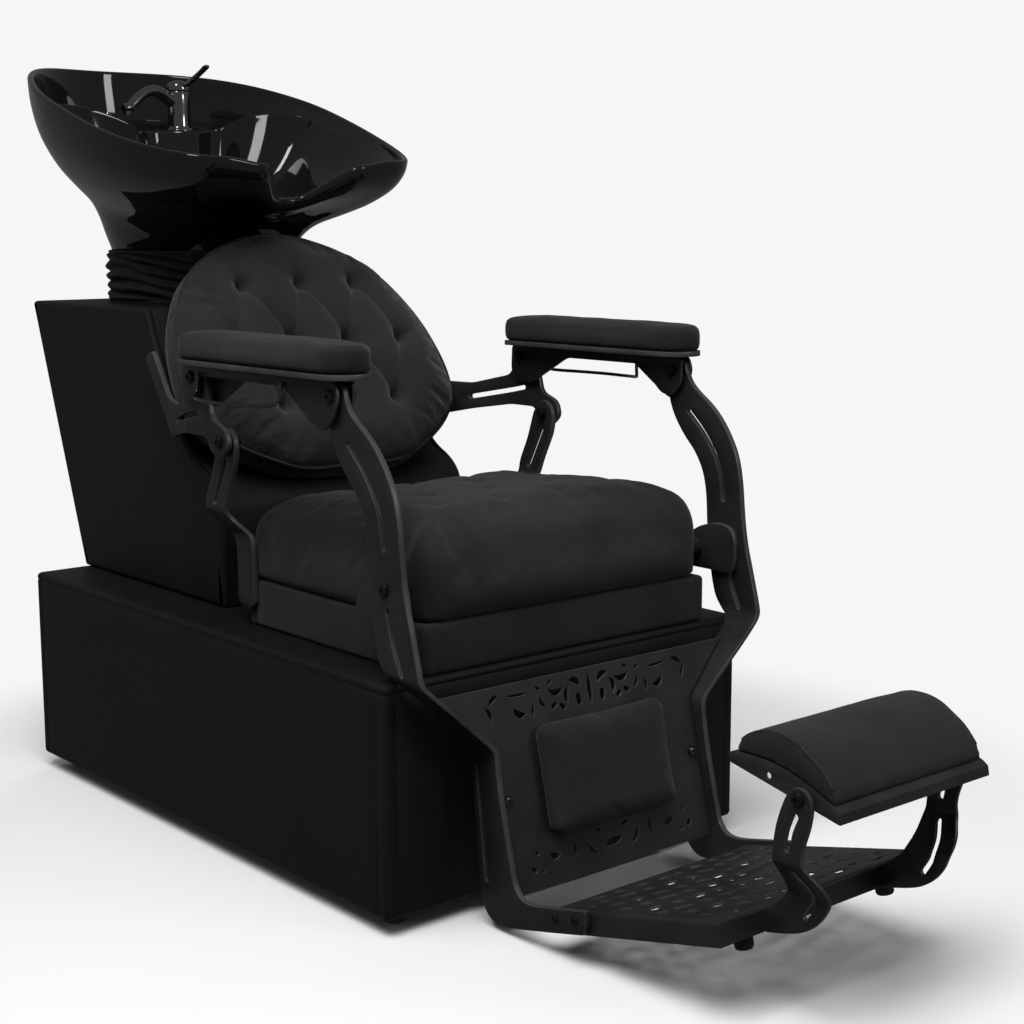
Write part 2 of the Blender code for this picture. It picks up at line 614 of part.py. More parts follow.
# fold flanges: front, left and right walls below the sheet
for v in bm.verts:
    v.co = Vector((v.co.x, v.co.y, v.co.z - SHEET))
walls = bmesh.new()
outer_u = [(-PLATE_HALF, F_LEN), (-PLATE_HALF, 0.0), (PLATE_HALF, 0.0), (PLATE_HALF, F_LEN),
           (PLATE_HALF - SHEET, F_LEN), (PLATE_HALF - SHEET, SHEET), (-PLATE_HALF + SHEET, SHEET),
           (-PLATE_HALF + SHEET, F_LEN)]
lo = [walls.verts.new((p[0], p[1], -FLANGE)) for p in outer_u]
hi = [walls.verts.new((p[0], p[1], -SHEET * 0.5)) for p in outer_u]
for a, b, c, d in ((0, 1, 6, 7), (1, 2, 5, 6), (2, 3, 4, 5)):
    walls.faces.new((lo[a], lo[d], lo[c], lo[b]))
    walls.faces.new((hi[a], hi[b], hi[c], hi[d]))
for k in range(8):
    walls.faces.new((lo[k], lo[(k + 1) % 8], hi[(k + 1) % 8], hi[k]))


bm = join(to_object(bm, "sheet_top"), to_object(walls, "sheet_walls"))
for v in bm.verts:
    v.co = Vector(fplate(v.co.x, v.co.y, v.co.z))
finish("foot_plate", bm, "steel")

for nm, sx in (("left", -1), ("right", 1)):
    a = fplate(sx * 0.120, 0.016, -SHEET - 0.0004)
    b = fplate(sx * 0.120, 0.016, -0.042)
    rod("foot_plate_stop_" + nm, b, a, [(0, 0.009), (0.08, 0.011), (1, 0.011)], "rubber", 16)

# curved brackets that carry the leg rest


def s_shift(y, z):
    t = min(max((z - 0.148) / 0.040, 0.0), 1.0)
    return 0.1000 + t * (0.1303 - 0.1000)


S_PLATE = round_poly([(-0.4172, 0.0905), (-0.4110, 0.1150), (-0.438, 0.132), (-0.452, 0.155),
                      (-0.450, 0.190), (-0.4535, 0.225),
                      (-0.464, 0.256), (-0.474, 0.272), (-0.490, 0.275), (-0.503, 0.262), (-0.500, 0.235),
                      (-0.489, 0.205),
                      (-0.492, 0.185), (-0.505, 0.166), (-0.504, 0.142), (-0.487, 0.117),
                      (-0.460, 0.100)][::-1], 0.008)
for nm, sx in (("left", -1), ("right", 1)):
    side_plate("leg_rest_bracket_" + nm, S_PLATE,
               [circle(FLIP, BOLT_R + 0.0006), bent_slot([(-0.481, 0.242), (-0.474, 0.225),
                                                          (-0.470, 0.205)][::-1], 0.0034),
                bent_slot([(-0.474, 0.178), (-0.482, 0.160), (-0.482, 0.142), (-0.472, 0.124)][::-1],
                          0.0032)],
               0.005, 0, sx, "steel",
               cuts=[((0, 0.148), (0, 1)), ((0, 0.188), (0, 1))], shift=s_shift)
    rod("flip_bolt_" + nm, (sx * 0.1120, FLIP[0], FLIP[1]), (sx * 0.1390, FLIP[0], FLIP[1]),
        [(0, 0.006), (0.04, 0.0075), (0.20, 0.0075), (0.202, BOLT_R), (0.79, BOLT_R), (0.791, HEAD_R),
         (0.9, HEAD_R), (1, 0.005)],
        "bolt", 14)

# leg rest: arched tray with end flanges, and its pad
TY0, TZ0 = -0.383, 0.289
TY1, TZ1 = -0.5315, 0.2575


def tray_top(t):
    """t 0 at the rear edge, 1 at the front edge; arched by 12 mm."""
    y = TY0 + (TY1 - TY0) * t
    z = TZ0 + (TZ1 - TZ0) * t
    bow = 0.012 * math.sin(math.pi * t)
    return (y, z + bow)


N_T = 10
top_line = [tray_top(k / N_T) for k in range(N_T + 1)]
sec = [(y, z) for y, z in top_line] + [(TY1 - 0.002, TZ1 - 0.012), (TY1 + 0.002, TZ1 - 0.012),
                                       (TY1 + 0.0025, TZ1 - 0.003)]
sec += [(y, z - 0.003) for y, z in top_line[-2:0:-1]] + [(TY0 - 0.0035, TZ0 - 0.003),
                                                         (TY0 - 0.0035, TZ0 - 0.012), (TY0, TZ0 - 0.012)]
bm = sheet(sec[::-1], [], 2 * TRAY_HALF - 0.0002)
for v in bm.verts:
    y, z, w = v.co
    v.co = Vector((w - TRAY_HALF + 0.0001, y, z))
tray = to_object(bm, "tray_sheet")
END = [(y, z - 0.0015) for y, z in top_line] + [(TY1, TZ1 - 0.012), (TY0, TZ0 - 0.012)]
for sx in (-1, 1):
    bm = sheet(END[::-1], [circle(FLIP, BOLT_R + 0.0006), circle((-0.438, 0.2745), 0.0035, 10)], 0.003)
    for v in bm.verts:
        y, z, w = v.co
        v.co = Vector((sx * (TRAY_HALF - 0.003 + w), y, z))
    tray = to_object(join(tray, to_object(bm, "tray_end")), "tray_sheet")
out = bmesh.new()
out.from_mesh(tray.data)
bpy.data.objects.remove(tray, do_unlink=True)
finish("leg_rest_tray", out, "steel")


def pad_section(grow, x):
    pts = []
    for k in range(13):
        t = k / 12
        y, z = tray_top(0.05 + 0.90 * t)
        if grow <= 0:
            pts.append((x, y, z + 0.0004))
        else:
            h = 0.034 * grow * (math.sin(math.pi * t) ** 0.45)
            pts.append((x, y, z + 0.0006 + h))
    return pts


rings = []
for x, g in ((-0.1240, 0.90), (-0.1225, 0.97), (-0.112, 1.0), (0.112, 1.0), (0.1225, 0.97), (0.1240, 0.90)):
    up = pad_section(g, x)
    dn = pad_section(0, x)
    rings.append(up + dn[-2:0:-1])
finish("leg_rest_pad", stack(rings), "vinyl")

# ----------------------------------------------------------------------- basin
RING = 72


def angle(k):
    return 2 * math.pi * k / RING


def smooth(a, b, x):
    t = min(max((x - a) / (b - a), 0.0), 1.0)
    return t * t * (3 - 2 * t)


def rim(th):
    """Rim point at angle th from the front (-Y) towards +X."""
    c, s = math.cos(th), math.sin(th)
    p = 1.85 + 0.40 * smooth(-0.45, 0.15, c)
    rr = (abs(s) ** p + abs(c) ** p) ** (-1 / p)
    x = BASIN_A * rr * s
    y = BASIN_C - BASIN_B * rr * c
    # blunt front, a little lower beside the neck notch
    e = y - 0.558
    y = 0.558 + 0.5 * (e + math.sqrt(e * e + 0.0009))
    z = 0.925 + 0.170 * smooth(0.50, 1.24, y) ** 0.92
    if c > 0:
        z -= 0.008 * (1 - smooth(0.080, 0.150, abs(x)))
        t = min(max((abs(x) - 0.016) / 0.064, 0.0), 1.0)
        k = 1 - 0.5 * (t + t * t * (3 - 2 * t))
        y += 0.072 * k
        z -= 0.047 * k
    return x, y, z


def neck(th):
    return NECK_A * math.sin(th), NECK_C - NECK_B * math.cos(th)


def flare_z(th):
    return 0.800 + 0.040 * smooth(0.72, 0.97, math.cos(th))


FLARE = [(0.0, 0.0), (0.10, 0.08), (0.20, 0.15), (0.30, 0.26), (0.40, 0.46), (0.52, 0.68), (0.68, 0.87),
         (0.85, 0.97), (1.0, 1.0)]
rings = []


def outer_ring(h, g):
    out = []
    for k in range(RING):
        th = angle(k)
        xr, yr, zr = rim(th)
        xn, yn = neck(th)
        w = smooth(0.70, 0.97, math.cos(th))
        gg = g ** (1 - 0.45 * w)
        z0 = flare_z(th)
        out.append(Vector((xn + (xr - xn) * gg, yn + (yr - yn) * gg, z0 + (zr - z0) * h)))
    return out


def neck_ring(z, inset):
    out = []
    for k in range(RING):
        th = angle(k)
        f = (NECK_A - inset) / NECK_A
        xn, yn = neck(th)
        zz = z if z < 0.79 else z + (flare_z(th) - 0.800) * (z - 0.79) / 0.01
        out.append(Vector((xn * f, NECK_C + (yn - NECK_C) * f, zz)))
    return out


WALL = 0.011


def inner_ring(drop, inward, floor_blend):
    """Inner wall: drop below the rim, inward from it, blended to the drain."""
    out = []
    for k in range(RING):
        th = angle(k)
        xr, yr, zr = rim(th)
        dx, dy = xr, yr - BASIN_C
        q = math.hypot(dx, dy)
        x, y = xr - dx / q * inward, yr - dy / q * inward
        zf = 0.848
        z = zr - drop
        z = z + (zf + 0.012 * (1 - floor_blend) - z) * floor_blend
        fx, fy = 0.0 + 0.026 * math.sin(th), 0.915 - 0.026 * math.cos(th)
        b = floor_blend
        out.append(Vector((x + (fx - x) * b, y + (fy - y) * b, max(z, zf))))
    return out


rings.append(neck_ring(NECK_Z0, 0.0))
rings.append(neck_ring(0.79, 0.0))
for h, g in FLARE:
    rings.append(outer_ring(h, g))
rings.append([v + Vector((0, 0, 0.0015)) - (v - Vector((0, BASIN_C,
                                                        v.z))).normalized() * 0.004 for v in outer_ring(1.0,
                                                            1.0)])
rings.append(inner_ring(0.0005, WALL, 0.0))


def bowl_ring(f):
    """f 0 just inside the rim, 1 at the drain."""
    out = []
    for k in range(RING):
        th = angle(k)
        xr, yr, zr = rim(th)
        dx, dy = xr, yr - BASIN_C
        q = math.hypot(dx, dy)
        inward = WALL + 0.014 * smooth(0, 0.25, f)
        x, y = xr - dx / q * inward, yr - dy / q * inward
        # the deck: a shelf round the rear
        rear = smooth(0.20, 0.78, -math.cos(th))
        zd = DECK_Z * rear + (zr - 0.02) * (1 - rear)
        sh = 0.158 * rear
        xd, yd = x - dx / q * sh, y - dy / q * sh
        fx, fy = 0.026 * math.sin(th), 0.915 - 0.026 * math.cos(th)
        if f <= 0.2:
            t = f / 0.2
            return_z = zr - 0.0005 + (max(zd, 0.86) - zr) * t
            out.append(Vector((x, y, return_z)))
        elif f <= 0.3:
            t = (f - 0.2) / 0.1
            out.append(Vector((x + (xd - x) * t, y + (yd - y) * t, max(zd, 0.86))))
        else:
            t = (f - 0.3) / 0.7
            g = t ** 1.25
            zt = max(zd, 0.862)
            z = 0.850 + (zt - 0.850) * (1 - t) ** 2.2
            out.append(Vector((xd + (fx - xd) * g, yd + (fy - yd) * g, z)))
    return out


for f in (0.10, 0.20, 0.30, 0.36, 0.44, 0.54, 0.66, 0.80, 0.92, 1.0):
    rings.append(bowl_ring(f))
drain = [Vector((0.024 * math.sin(angle(k)), 0.915 - 0.024 * math.cos(angle(k)),
                 0.836)) for k in range(RING)]
rings.append(drain)
under = []
for k in range(RING):
    p = neck_ring(0.79, 0.014)[k]
    under.append(Vector((p.x * 0.9, NECK_C + (p.y - NECK_C) * 0.9, 0.830)))
rings.append(under)
rings.append(neck_ring(0.79, 0.012))
rings.append(neck_ring(NECK_Z0, 0.012))
bm = stack(rings, close_ring=True)
finish("basin", bm, "ceramic")

rod("drain_strainer", (0, 0.915, 0.8365), (0, 0.915, 0.8535),
    [(0, 0.018), (0.80, 0.018), (0.805, 0.0225), (0.95, 0.0225), (1, 0.019)], "chrome", 24)

# tilt shaft and its stand inside the bellows, and the waste pipe
TX = 0.100
rod("tilt_shaft", (-0.1215, TILT_AX[0], TILT_AX[1]), (0.1215, TILT_AX[0], TILT_AX[1]),
    [(0, 0.006), (1, 0.006)], "bolt", 14)
lug = round_poly([(0.835, 0.7235), (0.885, 0.7235), (0.880, 0.772), (0.868, 0.784), (0.852, 0.784),
                  (0.840, 0.772)], 0.004, 2)
lugs = [side_plate("lug", lug, [circle(TILT_AX, 0.0066)], 0.005, TX, sx, "steel") for sx in (-1, 1)]
foot = box("lug_foot", (-TX - 0.0025, TX + 0.0025), (0.830, 0.890), (0.7204, 0.7250), "steel")
weld("tilt_stand", [foot] + lugs, "steel")
rod("waste_pipe", (0, 0.925, 0.7205), (0, 0.925, 0.800), [(0, 0.019), (1, 0.019)], "rubber", 20)

# bellows boot: accordion ring between tower and neck
rings = []
FOLDS = 4
zb0, zb1 = 0.7205, 0.800
prof_b = []
for k in range(FOLDS * 2 + 1):
    z = zb0 + (zb1 - zb0) * k / (FOLDS * 2)
    prof_b.append((0.0065 if k % 2 == 0 else 0.0135, z))
prof_in = [(r - 0.0045, z) for r, z in prof_b]
for r, z in prof_b + prof_in[::-1]:
    ring = []
    for k in range(48):
        th = 2 * math.pi * k / 48
        ring.append(Vector(((NECK_A + r) * math.sin(th), NECK_C - (NECK_B + r) * math.cos(th), z)))
    rings.append(ring)
finish("bellows", stack(rings, close_ring=True), "rubber")

# ----------------------------------------------------------------------- mixer
mx, my = MIXER
zb = DECK_Z + 0.0006
body = rod("mixer_core", (mx, my, zb), (mx, my, zb + 0.066),
    [(0, 0.024), (0.06, 0.024), (0.12, 0.020), (0.80, 0.019), (1.0, 0.018)], "chrome", 20)
pts = []
for k in range(9):
    t = k / 8
    pts.append((mx - 0.0100 - 0.100 * t, my - 0.012 * t,
                zb + 0.046 + 0.024 * math.sin(math.pi * min(1, t * 1.15)) - 0.012 * t))
nose = wire("mixer_nose", pts, 0.0085, "chrome", 12)
weld("mixer_body", [body, nose], "chrome")
rod("mixer_cap", (mx, my, zb + 0.0666), (mx, my, zb + 0.084),
    [(0, 0.019), (0.6, 0.019), (0.9, 0.013), (1, 0.006)], "chrome", 20)
wire("mixer_lever", [(mx + 0.004, my - 0.0205, zb + 0.076), (mx + 0.006, my - 0.040, zb + 0.084),
                     (mx + 0.008, my - 0.062, zb + 0.094), (mx + 0.009, my - 0.080, zb + 0.103)], 0.0048,
                     "chrome", 10)
rod("hose_guide", (-0.052, 1.085, DECK_Z + 0.0006), (-0.052, 1.085, DECK_Z + 0.030),
    [(0, 0.017), (0.2, 0.017), (0.25, 0.013), (0.85, 0.012), (1, 0.009)], "chrome", 16)
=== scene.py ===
# Shampoo backwash unit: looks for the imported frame.
# Metres, +Z up, the client faces -Y.  Lengths along Y are measured from the
# front face of the plinth and shifted by SHIFT, as in the CAD source.
import bpy
import bmesh
import json
import math
import numpy as np
from mathutils import Vector, Matrix
from mathutils import noise as mnoise
from mathutils.geometry import tessellate_polygon


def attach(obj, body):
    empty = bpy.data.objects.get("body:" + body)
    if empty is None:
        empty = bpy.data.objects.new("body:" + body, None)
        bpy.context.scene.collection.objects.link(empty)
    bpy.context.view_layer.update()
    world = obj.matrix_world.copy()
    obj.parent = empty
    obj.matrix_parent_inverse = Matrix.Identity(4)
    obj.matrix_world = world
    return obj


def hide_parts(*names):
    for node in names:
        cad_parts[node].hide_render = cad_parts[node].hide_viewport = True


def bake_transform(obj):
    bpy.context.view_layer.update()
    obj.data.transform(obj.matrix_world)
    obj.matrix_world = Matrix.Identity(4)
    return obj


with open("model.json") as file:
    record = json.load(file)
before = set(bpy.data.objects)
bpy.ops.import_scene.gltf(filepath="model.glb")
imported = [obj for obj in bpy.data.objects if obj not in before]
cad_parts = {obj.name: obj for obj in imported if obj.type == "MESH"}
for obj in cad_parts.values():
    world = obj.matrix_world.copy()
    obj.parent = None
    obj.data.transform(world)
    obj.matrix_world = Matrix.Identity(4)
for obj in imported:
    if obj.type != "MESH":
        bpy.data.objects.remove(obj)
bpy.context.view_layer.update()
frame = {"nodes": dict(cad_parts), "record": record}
SHIFT = 0.33825
SCENE = bpy.context.scene
COLL = SCENE.collection


# ============================================================ camera and stage
SENSOR, LENS = 36.0, 62.016
CAMERA_AT = (-1.4659, -1.94835, 0.840)
YAW_DEG, PITCH_DEG, ROLL = 40.25, 9.29, -0.0024
cam_data = bpy.data.cameras.new("camera")
cam_data.sensor_width = SENSOR
cam_data.lens = LENS
cam_data.clip_end = 100.0
cam = bpy.data.objects.new("camera", cam_data)
COLL.objects.link(cam)
cam.location = CAMERA_AT
yaw, pitch, roll = math.radians(YAW_DEG), math.radians(PITCH_DEG), ROLL
fwd = Vector((math.sin(yaw) * math.cos(pitch), math.cos(yaw) * math.cos(pitch), -math.sin(pitch)))
right = Vector((math.cos(yaw), -math.sin(yaw), 0.0))
upv = right.cross(fwd)
r2 = right * math.cos(roll) + upv * math.sin(roll)
u2 = upv * math.cos(roll) - right * math.sin(roll)
cam.rotation_mode = 'QUATERNION'
cam.rotation_quaternion = Matrix((r2, u2, -fwd)).transposed().to_quaternion()
SCENE.camera = cam
SCENE.view_settings.view_transform = 'Standard'


# =================================================================== materials
def tree(name):
    m = bpy.data.materials.new(name)
    m.use_nodes = True
    nt = m.node_tree
    b = nt.nodes.get("Principled BSDF")
    return m, nt, b


def node(nt, kind):
    return nt.nodes.new(kind)


def coords(nt, scale=(1, 1, 1), rot=(0, 0, 0)):
    tc = node(nt, "ShaderNodeTexCoord")
    mp = node(nt, "ShaderNodeMapping")
    mp.inputs["Scale"].default_value = scale
    mp.inputs["Rotation"].default_value = rot
    nt.links.new(tc.outputs["Object"], mp.inputs["Vector"])
    return mp.outputs["Vector"]


def noise_tex(nt, vec, scale, detail=3.0, rough=0.55, dist=0.0):
    n = node(nt, "ShaderNodeTexNoise")
    n.inputs["Scale"].default_value = scale
    n.inputs["Detail"].default_value = detail
    n.inputs["Roughness"].default_value = rough
    n.inputs["Distortion"].default_value = dist
    nt.links.new(vec, n.inputs["Vector"])
    return n.outputs["Fac"]


def voronoi(nt, vec, scale, feature):
    n = node(nt, "ShaderNodeTexVoronoi")
    n.feature = feature
    n.inputs["Scale"].default_value = scale
    n.inputs["Randomness"].default_value = 1.0
    nt.links.new(vec, n.inputs["Vector"])
    return n.outputs["Distance"]


def ramp(nt, fac, stops):
    n = node(nt, "ShaderNodeValToRGB")
    el = n.color_ramp.elements
    while len(el) > len(stops):
        el.remove(el[-1])
    while len(el) < len(stops):
        el.new(0.5)
    for e, (p, c) in zip(el, stops):
        e.position = p
        e.color = c if len(c) == 4 else (*c, 1.0)
    nt.links.new(fac, n.inputs["Fac"])
    return n.outputs["Color"]


def remap(nt, fac, lo, hi, a=0.0, b=1.0):
    n = node(nt, "ShaderNodeMapRange")
    n.inputs["From Min"].default_value = a
    n.inputs["From Max"].default_value = b
    n.inputs["To Min"].default_value = lo
    n.inputs["To Max"].default_value = hi
    nt.links.new(fac, n.inputs["Value"])
    return n.outputs["Result"]


def math_node(nt, op, a, b=None):
    n = node(nt, "ShaderNodeMath")
    n.operation = op
    for i, v in enumerate((a, b)):
        if v is None:
            continue
        if isinstance(v, (int, float)):
            n.inputs[i].default_value = v
        else:
            nt.links.new(v, n.inputs[i])
    return n.outputs[0]


def bump(nt, height, strength, dist, normal=None):
    n = node(nt, "ShaderNodeBump")
    n.inputs["Strength"].default_value = strength
    n.inputs["Distance"].default_value = dist
    nt.links.new(height, n.inputs["Height"])
    if normal is not None:
        nt.links.new(normal, n.inputs["Normal"])
    return n.outputs["Normal"]


def grey(v, tint=(1.0, 1.0, 1.0)):
    return (v * tint[0], v * tint[1], v * tint[2], 1.0)


def make_suede(name, lo, hi, sheen):
    m, nt, b = tree(name)
    v = coords(nt)
    brushed = noise_tex(nt, v, 9.0, 4.0, 0.6, 0.6)
    fine = noise_tex(nt, v, 420.0, 4.0, 0.7)
    fibre = noise_tex(nt, coords(nt, (1.0, 0.35, 1.0), (0.4, 0.2, 0.7)), 1500.0, 2.0, 0.6)
    mixv = math_node(nt, 'ADD', math_node(nt, 'MULTIPLY', brushed, 0.62),
                     math_node(nt, 'MULTIPLY', fine, 0.38))
    nt.links.new(ramp(nt, mixv, [(0.34, grey(lo, (1.0, 1.0, 1.03))), (0.66, grey(hi))]),
                 b.inputs["Base Color"])
    nt.links.new(remap(nt, brushed, 0.86, 1.0), b.inputs["Roughness"])
    b.inputs["Specular IOR Level"].default_value = 0.22
    b.inputs["Sheen Weight"].default_value = sheen
    b.inputs["Sheen Roughness"].default_value = 0.45
    b.inputs["Sheen Tint"].default_value = (0.85, 0.86, 0.9, 1.0)
    n1 = bump(nt, fine, 0.35, 0.0006)
    n2 = bump(nt, fibre, 0.30, 0.0003, n1)
    nt.links.new(n2, b.inputs["Normal"])
    return m


def make_vinyl(name, lo, hi, rough):
    m, nt, b = tree(name)
    v = coords(nt)
    broad = noise_tex(nt, v, 5.0, 3.0, 0.5, 0.3)
    mid = noise_tex(nt, v, 70.0, 3.0, 0.55)
    cells = voronoi(nt, v, 620.0, 'DISTANCE_TO_EDGE')
    grain = math_node(nt, 'MINIMUM', math_node(nt, 'MULTIPLY', cells, 5.0), 1.0)
    pores = noise_tex(nt, v, 1400.0, 2.0)
    col = math_node(nt, 'ADD', math_node(nt, 'MULTIPLY', broad, 0.7), math_node(nt, 'MULTIPLY', mid, 0.3))
    nt.links.new(ramp(nt, col, [(0.32, grey(lo)), (0.68, grey(hi, (1.0, 0.995, 0.985)))]),
                 b.inputs["Base Color"])
    rr = math_node(nt, 'ADD', remap(nt, broad, rough - 0.05, rough + 0.07),
                   math_node(nt, 'MULTIPLY', grain, -0.06))
    nt.links.new(rr, b.inputs["Roughness"])
    b.inputs["Specular IOR Level"].default_value = 0.30
    n1 = bump(nt, grain, 0.42, 0.00030)
    n2 = bump(nt, pores, 0.15, 0.00015, n1)
    n3 = bump(nt, mid, 0.16, 0.0010, n2)
    nt.links.new(n3, b.inputs["Normal"])
    return m


def make_steel(name, lo, hi, rough, metal=0.0, spec=0.5, peel=0.25):
    m, nt, b = tree(name)
    v = coords(nt)
    broad = noise_tex(nt, v, 14.0, 4.0, 0.6)
    orange = noise_tex(nt, v, 520.0, 2.0, 0.5)
    speck = noise_tex(nt, v, 2600.0, 1.0, 0.5)
    nt.links.new(ramp(nt, broad, [(0.35, grey(lo, (0.98, 0.99, 1.0))), (0.70, grey(hi))]),
                 b.inputs["Base Color"])
    nt.links.new(remap(nt, math_node(nt, 'ADD', math_node(nt, 'MULTIPLY', broad, 0.6),
                                     math_node(nt, 'MULTIPLY', speck, 0.4)),
                       rough - 0.06, rough + 0.08, 0.3, 0.7), b.inputs["Roughness"])
    b.inputs["Metallic"].default_value = metal
    b.inputs["Specular IOR Level"].default_value = spec
    n1 = bump(nt, orange, peel, 0.00025)
    n2 = bump(nt, speck, 0.18, 0.00008, n1)
    nt.links.new(n2, b.inputs["Normal"])
    return m


def make_chrome(name, level=0.80, rough=0.06):
    m, nt, b = tree(name)
    v = coords(nt)
    smear = noise_tex(nt, v, 60.0, 4.0, 0.6, 0.8)
    fine = noise_tex(nt, v, 900.0, 2.0)
    nt.links.new(ramp(nt, smear, [(0.3, grey(level * 0.93, (0.98, 0.99, 1.0))), (0.7, grey(level))]),
                 b.inputs["Base Color"])
    nt.links.new(remap(nt, smear, rough, rough + 0.07, 0.35, 0.75), b.inputs["Roughness"])
    b.inputs["Metallic"].default_value = 1.0
    nt.links.new(bump(nt, fine, 0.04, 0.00005), b.inputs["Normal"])
    return m


def make_ceramic(name):
    m, nt, b = tree(name)
    v = coords(nt)
    broad = noise_tex(nt, v, 7.0, 2.0, 0.4)
    glaze = noise_tex(nt, v, 60.0, 2.0, 0.45)
    nt.links.new(ramp(nt, broad, [(0.3, grey(0.0030)), (0.7, grey(0.0052, (1.0, 1.0, 1.03)))]),
                 b.inputs["Base Color"])
    nt.links.new(remap(nt, glaze, 0.035, 0.075, 0.3, 0.7), b.inputs["Roughness"])
    b.inputs["IOR"].default_value = 1.52
    b.inputs["Coat Weight"].default_value = 0.6
    b.inputs["Coat Roughness"].default_value = 0.02
    n1 = bump(nt, broad, 0.10, 0.0030)
    n2 = bump(nt, glaze, 0.05, 0.0004, n1)
    nt.links.new(n2, b.inputs["Normal"])
    return m


def make_rubber(name, lo, hi, rough):
    m, nt, b = tree(name)
    v = coords(nt)
    broad = noise_tex(nt, v, 22.0, 4.0, 0.6)
    fine = noise_tex(nt, v, 800.0, 3.0, 0.6)
    nt.links.new(ramp(nt, broad, [(0.35, grey(lo)), (0.7, grey(hi))]), b.inputs["Base Color"])
    nt.links.new(remap(nt, broad, rough - 0.08, rough + 0.08, 0.3, 0.7), b.inputs["Roughness"])
    nt.links.new(bump(nt, fine, 0.25, 0.0002), b.inputs["Normal"])
    return m


def make_cloth(name, lo, hi):
    """Plain woven dust cover."""
    m, nt, b = tree(name)
    v = coords(nt)
    waves = []
    for direction in ('X', 'Z'):
        w = node(nt, "ShaderNodeTexWave")
        w.bands_direction = direction
        w.inputs["Scale"].default_value = 240.0
        w.inputs["Distortion"].default_value = 0.6
        nt.links.new(v, w.inputs["Vector"])
        waves.append(w.outputs["Fac"])
    weave = math_node(nt, 'MULTIPLY', waves[0], waves[1])
    broad = noise_tex(nt, v, 12.0, 3.0)
    mixv = math_node(nt, 'ADD', math_node(nt, 'MULTIPLY', weave, 0.5),
                     math_node(nt, 'MULTIPLY', broad, 0.5))
    nt.links.new(ramp(nt, mixv, [(0.2, grey(lo)), (0.8, grey(hi))]), b.inputs["Base Color"])
    b.inputs["Roughness"].default_value = 0.9
    nt.links.new(bump(nt, weave, 0.5, 0.0004), b.inputs["Normal"])
    return m


SUEDE = make_suede("suede_black", 0.0140, 0.0245, 0.14)
VINYL = make_vinyl("vinyl_black", 0.0056, 0.0098, 0.50)
VINYL_PAD = make_suede("vinyl_pad_black", 0.0155, 0.0250, 0.12)
STEEL = make_steel("plate_black", 0.0140, 0.0230, 0.40)
# Side walls of the plates: a lighter, slightly metallic steel, partly the tone of a cut edge and partly a
# painted highlight for light catching the edges.
STEEL_EDGE_AND_HIGHLIGHT = make_steel("plate_cut_edge_and_painted_highlight", 0.050, 0.085, 0.34, 0.25, 0.6)
BOLT = make_steel("bolt_black", 0.010, 0.016, 0.24, 0.5, 0.6, 0.1)
CHROME = make_chrome("chrome_polished", 0.34, 0.10)
CHROME_DARK = make_chrome("chrome_dark", 0.16, 0.16)
CERAMIC = make_ceramic("glaze_black")
RUBBER = make_rubber("rubber_black", 0.0070, 0.0120, 0.62)
BOARD = make_cloth("dust_cover_black", 0.0060, 0.0140)

SLOT_LOOK = {"vinyl": VINYL, "suede": SUEDE, "plate_steel": STEEL, "bolts": BOLT, "rubber": RUBBER,
             "ceramic": CERAMIC, "chrome": CHROME, "board": BOARD}
NODE_SLOT = {s["node"]: s["material_slot"] for s in frame["record"]["subparts"]}
for name, ob in frame["nodes"].items():
    look = SLOT_LOOK[NODE_SLOT[name]]
    if not ob.material_slots:
        ob.data.materials.append(look)
    for s in ob.material_slots:
        s.material = look


# ================================================================ mesh helpers
def link(name, me, body, nodes=(), mats=(), smooth=35.0):
    ob = bpy.data.objects.new(name, me)
    COLL.objects.link(ob)
    for m in mats:
        me.materials.append(m)
    if smooth:
        shade(me, smooth)
    if body:
        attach(ob, body)
    if nodes:
        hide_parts(*nodes)
    return ob


def shade(me, angle):
    """Smooth shading with sharp edges above an angle."""
    bm = bmesh.new()
    bm.from_mesh(me)
    lim = math.radians(angle)
    for f in bm.faces:
        f.smooth = True
    for e in bm.edges:
        if len(e.link_faces) == 2:
            e.smooth = e.calc_face_angle(0.0) < lim
        else:
            e.smooth = False
    bm.to_mesh(me)
    bm.free()


def flat_face(ob):
    """Keeps the broad faces of a flat sheet flat up to their rounded arris."""
    for f in ob.data.polygons:
        if f.material_index == 0:
            f.use_smooth = False
    return ob


def to_mesh(bm, name):
    """Mesh from a bmesh built in plinth lengths, moved into the frame."""
    bmesh.ops.remove_doubles(bm, verts=bm.verts, dist=1e-6)
    bmesh.ops.recalc_face_normals(bm, faces=bm.faces)
    for v in bm.verts:
        v.co.y -= SHIFT
    me = bpy.data.meshes.new(name)
    bm.to_mesh(me)
    bm.free()
    return me


def stack(rings, close_ring=False, caps=True):
    bm = bmesh.new()
    vs = [[bm.verts.new(p) for p in r] for r in rings]
    n, m = len(rings[0]), len(rings)
    for i in range(m if close_ring else m - 1):
        a, b = vs[i], vs[(i + 1) % m]
        for k in range(n):
            bm.faces.new((a[k], a[(k + 1) % n], b[(k + 1) % n], b[k]))
    if not close_ring and caps:
        bm.faces.new(list(reversed(vs[0])))
        bm.faces.new(vs[-1])
    return bm


def turned(p, q, profile, n=32):
    """Turned body: profile = [(distance from p in metres, radius)]."""
    p, q = Vector(p), Vector(q)
    d = (q - p).normalized()
    side = Vector((0, 0, 1)) if abs(d.z) < 0.9 else Vector((1, 0, 0))
    u = d.cross(side).normalized()
    w = d.cross(u).normalized()
    rings = []
    for s, r in profile:
        c = p + d * s
        rings.append([c + u * (r * math.cos(2 * math.pi * k / n)) + w * (r * math.sin(2 * math.pi * k / n))
                      for k in range(n)])
    return stack(rings)


